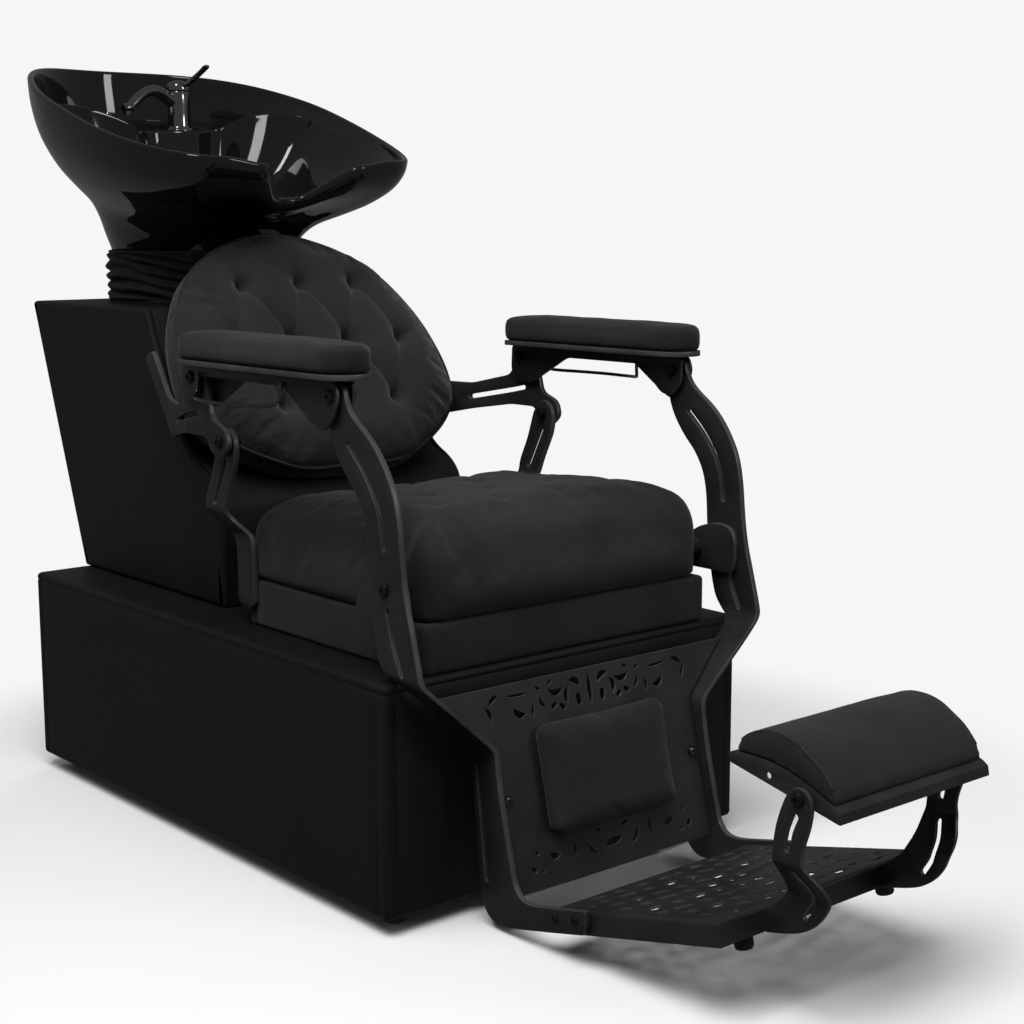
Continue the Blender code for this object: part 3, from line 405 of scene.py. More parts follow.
def catmull(pts, n=6, closed=False):
    """Smooth curve through points."""
    P = [Vector(p) for p in pts]
    m = len(P)
    out = []
    for i in range(m if closed else m - 1):
        p0 = P[(i - 1) % m] if closed or i > 0 else P[0] * 2 - P[1]
        p1, p2 = P[i], P[(i + 1) % m]
        p3 = P[(i + 2) % m] if closed or i + 2 < m else P[-1] * 2 - P[-2]
        for k in range(n):
            t = k / n
            out.append(0.5 * ((2 * p1) + (p2 - p0) * t + (2 * p0 - 5 * p1 + 4 * p2 - p3) * t * t
                              + (3 * p1 - p0 - 3 * p2 + p3) * t ** 3))
    if not closed:
        out.append(P[-1])
    return out


def tube(pts, radius, n=12, closed=False, caps=True):
    """Round tube along points; radius a number or a list."""
    pts = [Vector(p) for p in pts]
    m = len(pts)
    rings = []
    prev = None
    for i, c in enumerate(pts):
        if closed:
            t = (pts[(i + 1) % m] - pts[i - 1])
        elif i == 0:
            t = pts[1] - pts[0]
        elif i == m - 1:
            t = pts[-1] - pts[-2]
        else:
            t = pts[i + 1] - pts[i - 1]
        t.normalize()
        if prev is None:
            ref = Vector((0, 0, 1)) if abs(t.z) < 0.9 else Vector((0, 1, 0))
            u = t.cross(ref).normalized()
        else:
            u = (prev - t * prev.dot(t)).normalized()
        prev = u
        w = t.cross(u).normalized()
        r = radius[i] if isinstance(radius, (list, tuple)) else radius
        rings.append([c + (u * math.cos(2 * math.pi * k / n) + w * math.sin(2 * math.pi * k / n)) * r
                      for k in range(n)])
    if closed:
        return stack(rings, close_ring=True)
    return stack(rings, caps=caps)


def merge(*bms):
    out = bmesh.new()
    for b in bms:
        me = bpy.data.meshes.new("tmp")
        b.to_mesh(me)
        b.free()
        out.from_mesh(me)
        bpy.data.meshes.remove(me)
    return out


def circle(c, r, n=28):
    return [(c[0] + r * math.cos(2 * math.pi * k / n),
             c[1] + r * math.sin(2 * math.pi * k / n)) for k in range(n)]


def round_poly(poly, r, n=6):
    """Polygon with its corners rounded; r a number or one per corner."""
    out = []
    m = len(poly)
    for i in range(m):
        p, a, b = Vector(poly[i]), Vector(poly[i - 1]), Vector(poly[(i + 1) % m])
        da, db = a - p, b - p
        reach = r[i] if isinstance(r, (list, tuple)) else r
        ra, rb = min(reach, da.length * 0.48), min(reach, db.length * 0.48)
        p0, p1 = p + da.normalized() * ra, p + db.normalized() * rb
        for k in range(n + 1):
            t = k / n
            q = p0 * ((1 - t) ** 2) + p * (2 * t * (1 - t)) + p1 * (t ** 2)
            out.append((q.x, q.y))
    return clean(out)


def clean(loop, eps=2e-5):
    out = []
    for p in loop:
        if not out or math.hypot(p[0] - out[-1][0], p[1] - out[-1][1]) > eps:
            out.append((p[0], p[1]))
    if math.hypot(out[0][0] - out[-1][0], out[0][1] - out[-1][1]) <= eps:
        out.pop()
    return out


def area2(loop):
    return 0.5 * sum(loop[i - 1][0] * loop[i][1] - loop[i][0] * loop[i - 1][1] for i in range(len(loop)))


def ccw(loop):
    return loop if area2(loop) > 0 else loop[::-1]


def offset(loop, d):
    """Shift a closed loop sideways; positive goes to its left."""
    out = []
    m = len(loop)
    for i in range(m):
        a, p, b = Vector(loop[i - 1]), Vector(loop[i]), Vector(loop[(i + 1) % m])
        t1, t2 = (p - a).normalized(), (b - p).normalized()
        n1, n2 = Vector((-t1.y, t1.x)), Vector((-t2.y, t2.x))
        nn = n1 + n2
        if nn.length < 1e-6:
            nn = n1
        nn.normalize()
        k = d / max(0.5, nn.dot(n1))
        q = p + nn * k
        out.append((q.x, q.y))
    return out


def slot_path(pts, r, n=6):
    """Round-ended slot along a smooth path."""
    c = catmull([(p[0], p[1], 0) for p in pts], n) if len(pts) > 2 else [Vector((*p, 0)) for p in pts]
    left, right = [], []
    for i, p in enumerate(c):
        a, b = c[max(i - 1, 0)], c[min(i + 1, len(c) - 1)]
        t = (b - a).normalized()
        left.append((p.x - t.y * r, p.y + t.x * r))
        right.append((p.x + t.y * r, p.y - t.x * r))
    end, start = [], []
    t = (c[-1] - c[-2]).normalized()
    g = math.atan2(t.y, t.x)
    for k in range(1, 8):
        a = g - math.pi / 2 + math.pi * k / 8
        end.append((c[-1].x + r * math.cos(a), c[-1].y + r * math.sin(a)))
    t = (c[1] - c[0]).normalized()
    g = math.atan2(t.y, t.x)
    for k in range(1, 8):
        a = g + math.pi / 2 + math.pi * k / 8
        start.append((c[0].x + r * math.cos(a), c[0].y + r * math.sin(a)))
    return clean(right + end + left[::-1] + start)


def plate(outer, holes, thick, edge=0.0006, steps=2):
    """Plate with rounded arrises; the side walls take material 1."""
    outer = ccw(clean(outer))
    holes = [ccw(clean(h))[::-1] for h in holes]
    loops = [outer] + holes
    bm = bmesh.new()
    inner_lo, inner_hi = [], []
    walls = []
    for lp in loops:
        prof = []
        for k in range(steps + 1):
            a = math.pi / 2 * k / steps
            prof.append((edge * (1 - math.sin(a)), edge * (1 - math.cos(a))))
        levels = [(ins, w) for ins, w in prof] + [(ins, thick - w) for ins, w in prof[::-1]]
        rows = []
        for ins, w in levels:
            rows.append([bm.verts.new((p[0], p[1], w)) for p in offset(lp, ins)])
        n = len(lp)
        for a, b in zip(rows[:-1], rows[1:]):
            for k in range(n):
                walls.append(bm.faces.new((a[k], a[(k + 1) % n], b[(k + 1) % n], b[k])))
        inner_lo += rows[0]
        inner_hi += rows[-1]
    flat = [[Vector((p[0], p[1], 0.0)) for p in offset(lp, edge)] for lp in loops]
    for t in tessellate_polygon(flat):
        if len(set(t)) < 3:
            continue
        bm.faces.new((inner_hi[t[0]], inner_hi[t[1]], inner_hi[t[2]]))
        bm.faces.new((inner_lo[t[2]], inner_lo[t[1]], inner_lo[t[0]]))
    # material 1 comes from the caller; on steel plates it is the lighter edge look, partly a painted
    # highlight
    for f in walls:
        f.material_index = 1
    return bm


def side_plate(name, outer, holes, thick, side, body, nodes, shift, cuts=(), edge=0.0006):
    """Upright plate on one side; shift gives its distance from the middle."""
    bm = plate(outer, holes, thick, edge)
    for co, no in cuts:
        g = bm.verts[:] + bm.edges[:] + bm.faces[:]
        bmesh.ops.bisect_plane(bm, geom=g, dist=1e-6, plane_co=(co[0], co[1], 0),
                               plane_no=(no[0], no[1], 0))
    for v in bm.verts:
        y, z, w = v.co
        v.co = Vector((side * (shift(y, z) - thick / 2 + w), y, z))
    me = to_mesh(bm, name)
    return link(name, me, body, nodes, (STEEL, STEEL_EDGE_AND_HIGHLIGHT), 30.0)


def smooth(a, b, x):
    t = min(max((x - a) / (b - a), 0.0), 1.0)
    return t * t * (3 - 2 * t)


def soft_step(x, a, b, r):
    """Ramp from 0 at a to 1 at b with corners rounded over r."""
    def soft(t):
        if t <= -r:
            return 0.0
        if t >= r:
            return t
        return (t + r) ** 2 / (4 * r)
    return (soft(x - a) - soft(x - b)) / (b - a)


def bend_cuts(values, r, axis):
    no = (1, 0) if axis == 'y' else (0, 1)
    out = []
    for v in values:
        for k in (-1.0, -0.6, -0.2, 0.2, 0.6, 1.0):
            c = (v + r * k, 0) if axis == 'y' else (0, v + r * k)
            out.append((c, no))
    return out


def bolt_head(p, q, head=0.0085, height=0.0042, socket=0.0026):
    """Button head with a hex socket, from p outwards along q - p."""
    p, q = Vector(p), Vector(q)
    d = (q - p).normalized()
    prof = []
    for k in range(9):
        a = math.pi / 2 * k / 8
        prof.append((height * 0.18 + height * 0.82 * math.sin(a),
                     head - (head - socket * 1.55) * (1 - math.cos(a))))
    rings = [(0.0, head * 0.97), (0.0003, head)] + prof
    side = Vector((0, 0, 1)) if abs(d.z) < 0.9 else Vector((1, 0, 0))
    u = d.cross(side).normalized()
    w = d.cross(u).normalized()
    n = 24

    def ring(s, r, hexed=0.0):
        c = p + d * s
        out = []
        for k in range(n):
            a = 2 * math.pi * k / n
            rr = r
            if hexed:
                b = (a + math.pi / 6) % (math.pi / 3) - math.pi / 6
                rr = r * math.cos(math.pi / 6) / math.cos(b) * 1.08
            out.append(c + u * (rr * math.cos(a)) + w * (rr * math.sin(a)))
        return out
    loops = [ring(s, r) for s, r in rings]
    loops.append(ring(height, socket, 1.0))
    loops.append(ring(height - 0.0022, socket * 0.96, 1.0))
    return stack(loops)


def get_co(me):
    a = np.empty(len(me.vertices) * 3)
    me.vertices.foreach_get("co", a)
    return a.reshape(-1, 3)


def set_co(me, co):
    me.vertices.foreach_set("co", np.ascontiguousarray(co, dtype=float).ravel())
    me.update()


# ======================================================== cushion preparation
def evaluate(ob):
    dg = bpy.context.evaluated_depsgraph_get()
    dg.update()
    return bpy.data.meshes.new_from_object(ob.evaluated_get(dg))


def inflate(name, me, voxel, pressure, cap, pinned=None, stiff=15.0, frames=20, subdiv=True):
    """Foam-like swelling: voxel remesh, a short pressure simulation whose result
    is kept within cap of the cut shape, then one subdivision."""
    tmp = bpy.data.objects.new(name + "_work", me)
    COLL.objects.link(tmp)
    rm = tmp.modifiers.new("remesh", 'REMESH')
    rm.mode = 'VOXEL'
    rm.voxel_size = voxel
    rm.adaptivity = 0.0
    base = evaluate(tmp)
    tmp.modifiers.clear()
    tmp.data = base
    rest = get_co(base).copy()
    if pinned is not None:
        vg = tmp.vertex_groups.new(name="pin")
        idx = [int(i) for i in np.nonzero(pinned(rest))[0]]
        vg.add(idx, 1.0, 'REPLACE')
    cl = tmp.modifiers.new("cloth", 'CLOTH')
    st = cl.settings
    st.quality = 4
    st.mass = 0.3
    st.tension_stiffness = stiff
    st.compression_stiffness = stiff
    st.shear_stiffness = 5.0
    st.bending_stiffness = 0.5
    st.use_pressure = True
    st.uniform_pressure_force = pressure
    st.effector_weights.gravity = 0.0
    if pinned is not None:
        st.vertex_group_mass = "pin"
    cl.collision_settings.use_collision = False
    cl.collision_settings.use_self_collision = False
    cl.point_cache.frame_start = 1
    cl.point_cache.frame_end = frames
    for f in range(1, frames + 1):
        SCENE.frame_set(f)
    out = evaluate(tmp)
    moved = get_co(out)
    bpy.data.meshes.remove(out)
    tmp.modifiers.clear()
    SCENE.frame_set(1)
    d = moved - rest
    d[~np.isfinite(d)] = 0.0
    ln = np.linalg.norm(d, axis=1, keepdims=True)
    lim = cap * np.tanh(ln / cap)
    d = np.where(ln > 1e-9, d / np.maximum(ln, 1e-9) * lim, 0.0)
    set_co(base, rest + d)
    if subdiv:
        sb = tmp.modifiers.new("sub", 'SUBSURF')
        sb.levels = 1
        sb.render_levels = 1
        out = evaluate(tmp)
        tmp.modifiers.clear()
        tmp.data = out
        base = out
    me2 = tmp.data
    bpy.data.objects.remove(tmp, do_unlink=True)
    return me2


def seg_dist(P, a, b):
    """Distance of points P (n,2) to the segment a-b, and position along it."""
    a, b = np.array(a, float), np.array(b, float)
    ab = b - a
    t = np.clip(((P - a) @ ab) / (ab @ ab), 0, 1)
    q = a + t[:, None] * ab
    return np.linalg.norm(P - q, axis=1), t


def fbm(P, scale, seed=0.0, octaves=3):
    out = np.empty(len(P))
    for i, p in enumerate(P):
        out[i] = mnoise.fractal(Vector((p[0] * scale + seed, p[1] * scale - seed, p[2] * scale)), 1.0, 2.0,
                                octaves)
    return out


# ============================================================ plinth and tower
PLINTH_HALF, PLINTH_LEN, PLINTH_Z0, PLINTH_TOP = 0.298, 0.909, 0.022, 0.310
GAP = 0.0004
# seam groove: distance across it, share of its depth
GROOVE = ((-0.0022, 0), (-0.0009, 0.75), (0, 1), (0.0009, 0.75), (0.0022, 0))
FACE_STEP = 0.022


def covered_box(name, x, y, z, node_name, body, look, radius=0.007, seam=0.011, sag=0.0007, seed=0.0,
                groove=0.0009,
                top_seam=True, bulge=0.0):
    """Board box covered in vinyl: rounded arrises, a sewn seam beside each edge."""
    def side_pts(a, b):
        """Distances along one side with the seam grooves near both ends."""
        ln = b - a
        pts = []
        for s, g in [(0.0, 0)] + [(seam + d, g) for d, g in GROOVE]:
            pts.append((a + s, g))
        n = max(3, int(ln / FACE_STEP))
        lo, hi = a + seam + 0.0022, b - seam - 0.0022
        for k in range(1, n):
            pts.append((lo + (hi - lo) * k / n, 0))
        for s, g in [(seam + d, g) for d, g in GROOVE[::-1]] + [(0.0, 0)]:
            pts.append((b - s, g))
        return pts
    r = radius

    def ring(zz, ins, mid=0.0):
        out = []
        x0, x1, y0, y1 = x[0] + ins, x[1] - ins, y[0] + ins, y[1] - ins
        rr = max(r - ins * 0.6, 0.001)
        sides = [((x0 + rr, x1 - rr), lambda s, g: (s, y0 + groove * g, 0, -1)),
                 ((y0 + rr, y1 - rr), lambda s, g: (x1 - groove * g, s, 1, 0)),
                 ((x0 + rr, x1 - rr), lambda s, g: (x0 + x1 - s, y1 - groove * g, 0, 1)),
                 ((y0 + rr, y1 - rr), lambda s, g: (x0 + groove * g, y0 + y1 - s, -1, 0))]
        corners = [((x1 - rr, y0 + rr), -90), ((x1 - rr, y1 - rr), 0), ((x0 + rr, y1 - rr), 90),
                   ((x0 + rr, y0 + rr), 180)]
        for (span, fn), (cc, a0) in zip(sides, corners):
            for s, g in side_pts(*span):
                px, py, nx, ny = fn(s, g)
                t = (s - span[0]) / (span[1] - span[0])
                puff = bulge * 4 * t * (1 - t) * mid
                w = mnoise.noise(Vector((px * 5 + seed, py * 5, zz * 6))) * sag * mid
                out.append((px + nx * (w + puff), py + ny * (w + puff), zz))
            for k in range(1, 5):
                a = math.radians(a0 + 90 * k / 5)
                out.append((cc[0] + rr * math.cos(a), cc[1] + rr * math.sin(a), zz))
        return out
    levels = [(z[0] + r * (1 - math.cos(math.pi / 2 * k / 4)), r * (1 - math.sin(math.pi / 2 * k / 4)),
               0.0) for k in range(5)]
    n = max(4, int((z[1] - z[0] - 2 * r) / FACE_STEP))
    zs = [z[0] + r + (z[1] - z[0] - 2 * r) * k / n for k in range(1, n)]
    for zz in zs:
        levels.append((zz, 0.0, 1.0))
    if top_seam:
        zt = z[1] - seam
        levels = [l for l in levels if l[0] < zt - 0.004]
        for dz, g in GROOVE:
            levels.append((zt + dz, groove * g, 0.0))
    for k in range(5):
        a = math.pi / 2 * k / 4
        levels.append((z[1] - r * (1 - math.sin(a)), r * (1 - math.cos(a)), 0.0))
    rings = [ring(*l) for l in levels]
    c = ((x[0] + x[1]) / 2, (y[0] + y[1]) / 2)
    top = rings[-1]
    for f in (0.93, 0.8, 0.5):
        rings.append([(c[0] + (p[0] - c[0]) * f, c[1] + (p[1] - c[1]) * f, p[2]) for p in top])
    bm = stack(rings)
    me = to_mesh(bm, name)
    return link(name, me, body, (node_name,), (look,), 40.0)


covered_box("plinth_cover", (-PLINTH_HALF, PLINTH_HALF), (0.0, PLINTH_LEN), (PLINTH_Z0, PLINTH_TOP),
            "plinth", "base", VINYL,
            0.0065, 0.0105, 0.0009, 1.7)
covered_box("seat_box_cover", (-0.238, 0.238), (0.002, 0.385), (PLINTH_TOP + GAP, 0.372), "seat_box",
            "base", VINYL_PAD,
            0.006, 0.012, 0.0012, 4.2, 0.0006, False, 0.0012)

# tower: side profile carried across, rounded along both side edges
TOWER_HALF = 0.215
TOWER_PROFILE = [(0.909, PLINTH_TOP + GAP), (0.490, PLINTH_TOP + GAP), (0.490, 0.435), (0.497, 0.465),
                 (0.520, 0.487),
                 (0.560, 0.505), (0.600, 0.550), (0.632, 0.610), (0.667, 0.670), (0.688, 0.720),
                 (1.056, 0.720)]


def densify(loop, step):
    out = []
    m = len(loop)
    for i in range(m):
        a, b = Vector(loop[i]), Vector(loop[(i + 1) % m])
        n = max(1, int((b - a).length / step))
        for k in range(n):
            q = a + (b - a) * (k / n)
            out.append((q.x, q.y))
    return out


TOWER_RADII = [0.003] * 2 + [0.06] * 7 + [0.010] * 2
t_prof = ccw(clean(densify(round_poly(TOWER_PROFILE, TOWER_RADII), 0.018)))
rings = []
TR, TSEAM = 0.0065, 0.0115
stations = [(-TOWER_HALF, TR + 0.0060), (-TOWER_HALF, TR + 0.0015)]
for k in range(5):
    a = math.pi / 2 * k / 4
    stations.append((-TOWER_HALF + TR * (1 - math.cos(a)), TR * (1 - math.sin(a))))
for d, g in ((TSEAM - 0.0022, 0), (TSEAM - 0.0009, 0.0007), (TSEAM, 0.0010), (TSEAM + 0.0009, 0.0007),
             (TSEAM + 0.0022, 0)):
    stations.append((-TOWER_HALF + d, g))
for k in range(1, 12):
    stations.append((-TOWER_HALF + 0.02 + (2 * TOWER_HALF - 0.04) * k / 12, 0.0))
stations += [(-x, g) for x, g in stations[:12]][::-1]
for x, ins in stations:
    lp = offset(t_prof, ins) if ins > 0 else t_prof
    rings.append([(x, p[0], p[1]) for p in lp])
bm = stack(rings)
bmesh.ops.triangulate(bm, faces=[f for f in bm.faces if len(f.verts) > 4])
link("tower_cover", to_mesh(bm, "tower_cover"), "base", ("tower",), (VINYL,), 40.0)


# ==================================================================== cushions
RECLINE = math.radians(33.0)
BACK_O = (0.535, 0.550)
BS, BC = math.sin(RECLINE), math.cos(RECLINE)


def back(u, s, n):
    return (u, BACK_O[0] + s * BS - n * BC, BACK_O[1] + s * BC + n * BS)


def back_local(co):
    y, z = co[:, 1] - BACK_O[0], co[:, 2] - BACK_O[1]
    return np.stack([co[:, 0], y * BS + z * BC, -y * BC + z * BS], axis=1)


def back_world(uvn):
    u, s, n = uvn[:, 0], uvn[:, 1], uvn[:, 2]
    return np.stack([u, BACK_O[0] + s * BS - n * BC, BACK_O[1] + s * BC + n * BS], axis=1)


BACK_OUTLINE = [(0.0, -0.086), (0.060, -0.085), (0.105, -0.078), (0.140, -0.062), (0.175, -0.043),
                (0.205, -0.020), (0.226, 0.010), (0.235, 0.045), (0.235, 0.085), (0.230, 0.125),
                (0.219, 0.165), (0.203, 0.200), (0.182, 0.234), (0.154, 0.263), (0.120, 0.287),
                (0.082, 0.305), (0.042, 0.316), (0.0, 0.320)]
half = [(x, s, 0) for x, s in BACK_OUTLINE]
full = half + [(-x, s, 0) for x, s, _ in half[-2:0:-1]]
OUT = [(p.x, p.y) for p in catmull(full, 4, closed=True)]


def lofted(outline, levels, centre, place):
    """levels = [(height, inset, scale)] inset in metres, scale towards the centre."""
    rings = []
    for h, ins, sc in levels:
        lp = offset(outline, ins) if ins else outline
        rings.append([place(centre[0] + (p[0] - centre[0]) * sc, centre[1] + (p[1] - centre[1]) * sc,
                            h) for p in lp])
    return stack(rings)


def loop_at(P, c, lo, hi, bins=96):
    """Outermost outline of points whose third coordinate is between lo and hi."""
    sel = P[(P[:, 2] > lo) & (P[:, 2] < hi)]
    d = sel[:, :2] - np.array(c)
    ang = np.arctan2(d[:, 1], d[:, 0])
    rad = np.hypot(d[:, 0], d[:, 1])
    idx = ((ang + math.pi) / (2 * math.pi) * bins).astype(int) % bins
    out = np.full(bins, np.nan)
    for b in range(bins):
        m_ = idx == b
        if m_.any():
            out[b] = rad[m_].max()
    good = ~np.isnan(out)
    xs = np.arange(bins)
    out = np.interp(xs, np.concatenate([xs[good] - bins, xs[good], xs[good] + bins]), np.tile(out[good], 3))
    k = np.array([1, 2, 3, 2, 1]) / 9.0
    out = np.convolve(np.concatenate([out[-2:], out, out[:2]]), k, 'valid')
    a = (xs + 0.5) / bins * 2 * math.pi - math.pi
    return [(c[0] + r * math.cos(t), c[1] + r * math.sin(t)) for r, t in zip(out, a)]


# ---- back cushion: deep buttoned in diamonds
levels = [(-0.0177, 0.014, 1.0), (-0.0120, 0.005, 1.0), (-0.002, 0.0015, 1.0), (0.018, 0.0020, 1.0),
          (0.030, 0.006, 1.0),
          (0.0385, 0.015, 1.0), (0.0445, 0.030, 1.0), (0.0485, 0.0, 0.72), (0.0515, 0.0, 0.45),
          (0.0525, 0.0, 0.15)]
bm = lofted(OUT, levels, (0.0, 0.12), lambda u, v, h: back(u, v, h))
me = to_mesh(bm, "back_cut")
me = inflate("back", me, 0.0050, 4.0, 0.010, pinned=lambda c: back_local(c + np.array([0, SHIFT, 0]))[:,
    2] < -0.012)
co = get_co(me) + np.array([0, SHIFT, 0])
L = back_local(co)
BUTTONS = [(-0.098, 0.212), (0.0, 0.212), (0.098, 0.212), (-0.147, 0.113), (-0.049, 0.113), (0.049, 0.113),
           (0.147, 0.113),
           (-0.098, 0.014), (0.0, 0.014), (0.098, 0.014)]
P2 = L[:, :2]
front = np.clip((L[:, 2] - 0.008) / 0.016, 0, 1)
front = front * front * (3 - 2 * front)
drop = np.zeros(len(L))
for bu in BUTTONS:
    r = np.hypot(P2[:, 0] - bu[0], P2[:, 1] - bu[1])
    drop += 0.0105 * np.exp(-(r / 0.011) ** 2) + 0.0070 * np.exp(-(r / 0.028) ** 2)
pleats = []
for i, a in enumerate(BUTTONS):
    for b in BUTTONS[i + 1:]:
        if abs(abs(a[0] - b[0]) - 0.049) < 0.004 and abs(abs(a[1] - b[1]) - 0.099) < 0.006:
            pleats.append((a, b, 1.0))
for bu in BUTTONS[:3]:
    pleats.append((bu, (bu[0] * 1.35, 0.335), 0.55))
pleats += [((-0.147, 0.113), (-0.255, 0.150), 0.5), ((0.147, 0.113), (0.255, 0.150), 0.5),
           ((-0.098, 0.014), (-0.125, -0.095), 0.5),
           ((0.0, 0.014), (0.0, -0.10), 0.5), ((0.098, 0.014), (0.125, -0.095), 0.5)]
for a, b, k in pleats:
    d, t = seg_dist(P2, a, b)
    w = np.ones(len(t)) if k == 1.0 else np.clip(1.15 - t * 1.15, 0, 1)
    drop += k * w * (0.0042 * np.exp(-d / 0.0042) + 0.0022 * np.exp(-(d / 0.014) ** 2))
L[:, 2] -= drop * front
wr = fbm(L, 16.0, 3.1, 2) * 0.0011 + fbm(L, 48.0, 8.0, 2) * 0.0004
L[:, 2] += wr * front
side = 1 - front
L[:, 0] += side * fbm(L, 22.0, 5.0, 2) * 0.0006
back_loc = L.copy()
set_co(me, back_world(L) - np.array([0, SHIFT, 0]))
ob = link("back_cushion_cover", me, "back", ("back_cushion",), (SUEDE,), 60.0)

# covered buttons in the dimples
bms = []
for bu in BUTTONS:
    r = np.hypot(back_loc[:, 0] - bu[0], back_loc[:, 1] - bu[1]) + (back_loc[:, 2] < 0.0) * 1.0
    n0 = back_loc[np.argsort(r)[:6], 2].mean()
    p = Vector(back(bu[0], bu[1], n0 - 0.0015))
    q = Vector(back(bu[0], bu[1], n0 + 0.01))
    prof = [(0.0, 0.0088), (0.0012, 0.0094), (0.0026, 0.0090), (0.0040, 0.0074), (0.0049, 0.0050),
            (0.0053, 0.0022), (0.0054, 0.0006)]
    bms.append(turned(p, q, prof, 24))
link("back_buttons", to_mesh(merge(*bms), "back_buttons"), "back", (), (SUEDE,), 50.0)

# welt round the front edge of the back
def welt_from(loop, place, h, r=0.0024, smooth_n=2):
    c = catmull([place(p[0], p[1], h) for p in loop], smooth_n, closed=True)
    return tube(c, r, 8, closed=True)


lp = loop_at(back_loc, (0.0, 0.12), 0.016, 0.024)
lp = offset(ccw(lp), 0.0008)
link("back_welt", to_mesh(welt_from(lp, back, 0.0200, 0.0025), "back_welt"), "back", (), (SUEDE,),
     60.0)


# ---- seat cushion
def rect_loop(x, y, r, n=6):
    out = []
    for cx, cy, a0 in ((x[1] - r, y[0] + r, -90), (x[1] - r, y[1] - r, 0), (x[0] + r, y[1] - r, 90),
                       (x[0] + r, y[0] + r, 180)):
        for k in range(n + 1):
            a = math.radians(a0 + 90 * k / n)
            out.append((cx + r * math.cos(a), cy + r * math.sin(a)))
    return out


SEAT_Z0 = 0.372 + GAP
SLO = densify(rect_loop((-0.238, 0.238), (-0.002, 0.400), 0.032), 0.02)


def seat_place(u, v, h):
    return (u, v, h - 0.02 * max(0.0, (v - 0.1) / 0.3) * (h - SEAT_Z0) / 0.12)


levels = [(SEAT_Z0, 0.010, 1.0), (SEAT_Z0 + 0.004, 0.004, 1.0), (SEAT_Z0 + 0.012, 0.002, 1.0),
          (0.436, 0.001, 1.0), (0.452, 0.0025, 1.0),
          (0.464, 0.0060, 1.0), (0.474, 0.0120, 1.0), (0.4815, 0.0200, 1.0), (0.4865, 0.0285, 1.0),
          (0.4895, 0.0285, 0.955),
          (0.4920, 0.0285, 0.86), (0.4935, 0.0285, 0.55), (0.4940, 0.0285, 0.18)]
bm = lofted(SLO, levels, (0.0, 0.2), seat_place)
me = inflate("seat", to_mesh(bm, "seat_cut"), 0.0060, 4.0, 0.010,
             pinned=lambda c: c[:, 2] < SEAT_Z0 + 0.004)
co = get_co(me) + np.array([0, SHIFT, 0])
top = np.clip((co[:, 2] - 0.452) / 0.020, 0, 1)
top = top * top * (3 - 2 * top)
SP = co[:, :2]
drop = np.zeros(len(co))
nodes = []
for j, yy in enumerate((0.085, 0.170, 0.255, 0.340)):
    xs = (-0.150, -0.050, 0.050, 0.150) if j % 2 == 0 else (-0.200, -0.100, 0.0, 0.100, 0.200)
    nodes += [(x, yy) for x in xs]
for i, a in enumerate(nodes):
    r = np.hypot(SP[:, 0] - a[0], SP[:, 1] - a[1])
    drop += 0.0016 * np.exp(-(r / 0.014) ** 2)
    for b in nodes[i + 1:]:
        if abs(abs(a[0] - b[0]) - 0.050) < 0.004 and abs(abs(a[1] - b[1]) - 0.085) < 0.006:
            d, t = seg_dist(SP, a, b)
            drop += 0.0015 * np.exp(-d / 0.0040) + 0.0010 * np.exp(-(d / 0.014) ** 2)
    if a[1] < 0.09:
        d, t = seg_dist(SP, a, (a[0] * 1.15, -0.01))
        drop += (0.0014 * np.exp(-d / 0.0045)) * np.clip(1.1 - t * 1.1, 0, 1)
co[:, 2] -= drop * top
co[:, 2] += (fbm(co, 11.0, 1.3, 2) * 0.0016 + fbm(co, 40.0, 4.0, 2) * 0.0004) * top
sd = (1 - top) * np.clip((co[:, 2] - SEAT_Z0 - 0.006) / 0.02, 0, 1)
wob = fbm(co, 9.0, 7.7, 2)
co[:, 1] += sd * np.where(co[:, 1] < 0.2, -1, 1) * wob * 0.0012 * (np.abs(co[:, 0]) < 0.225)
co[:, 0] += sd * np.sign(co[:, 0]) * wob * 0.0010 * (np.abs(co[:, 0]) > 0.225)
set_co(me, co - np.array([0, SHIFT, 0]))
ob = link("seat_cushion_cover", me, "base", ("seat_cushion",), (SUEDE,), 60.0)

# ---- armrest pads
ARM_X, ARM_HALF, ARM_Y = 0.278, 0.035, (0.067, 0.430)
BOARD_Z = (0.6600, 0.6670)
PAD_TOP = 0.704


def arm_outline(grow=0.0, n=24):
    out = []
    r = ARM_HALF + grow
    for k in range(n + 1):
        a = math.pi + math.pi * k / n
        out.append((r * math.cos(a), ARM_Y[0] + ARM_HALF + r * math.sin(a)))
    q = 0.008
    for cx, cy, a0 in ((r - q, ARM_Y[1] + grow - q, 0), (-r + q, ARM_Y[1] + grow - q, 90)):
        for k in range(5):
            a = math.radians(a0 + 90 * k / 4)
            out.append((cx + q * math.cos(a), cy + q * math.sin(a)))
    return out


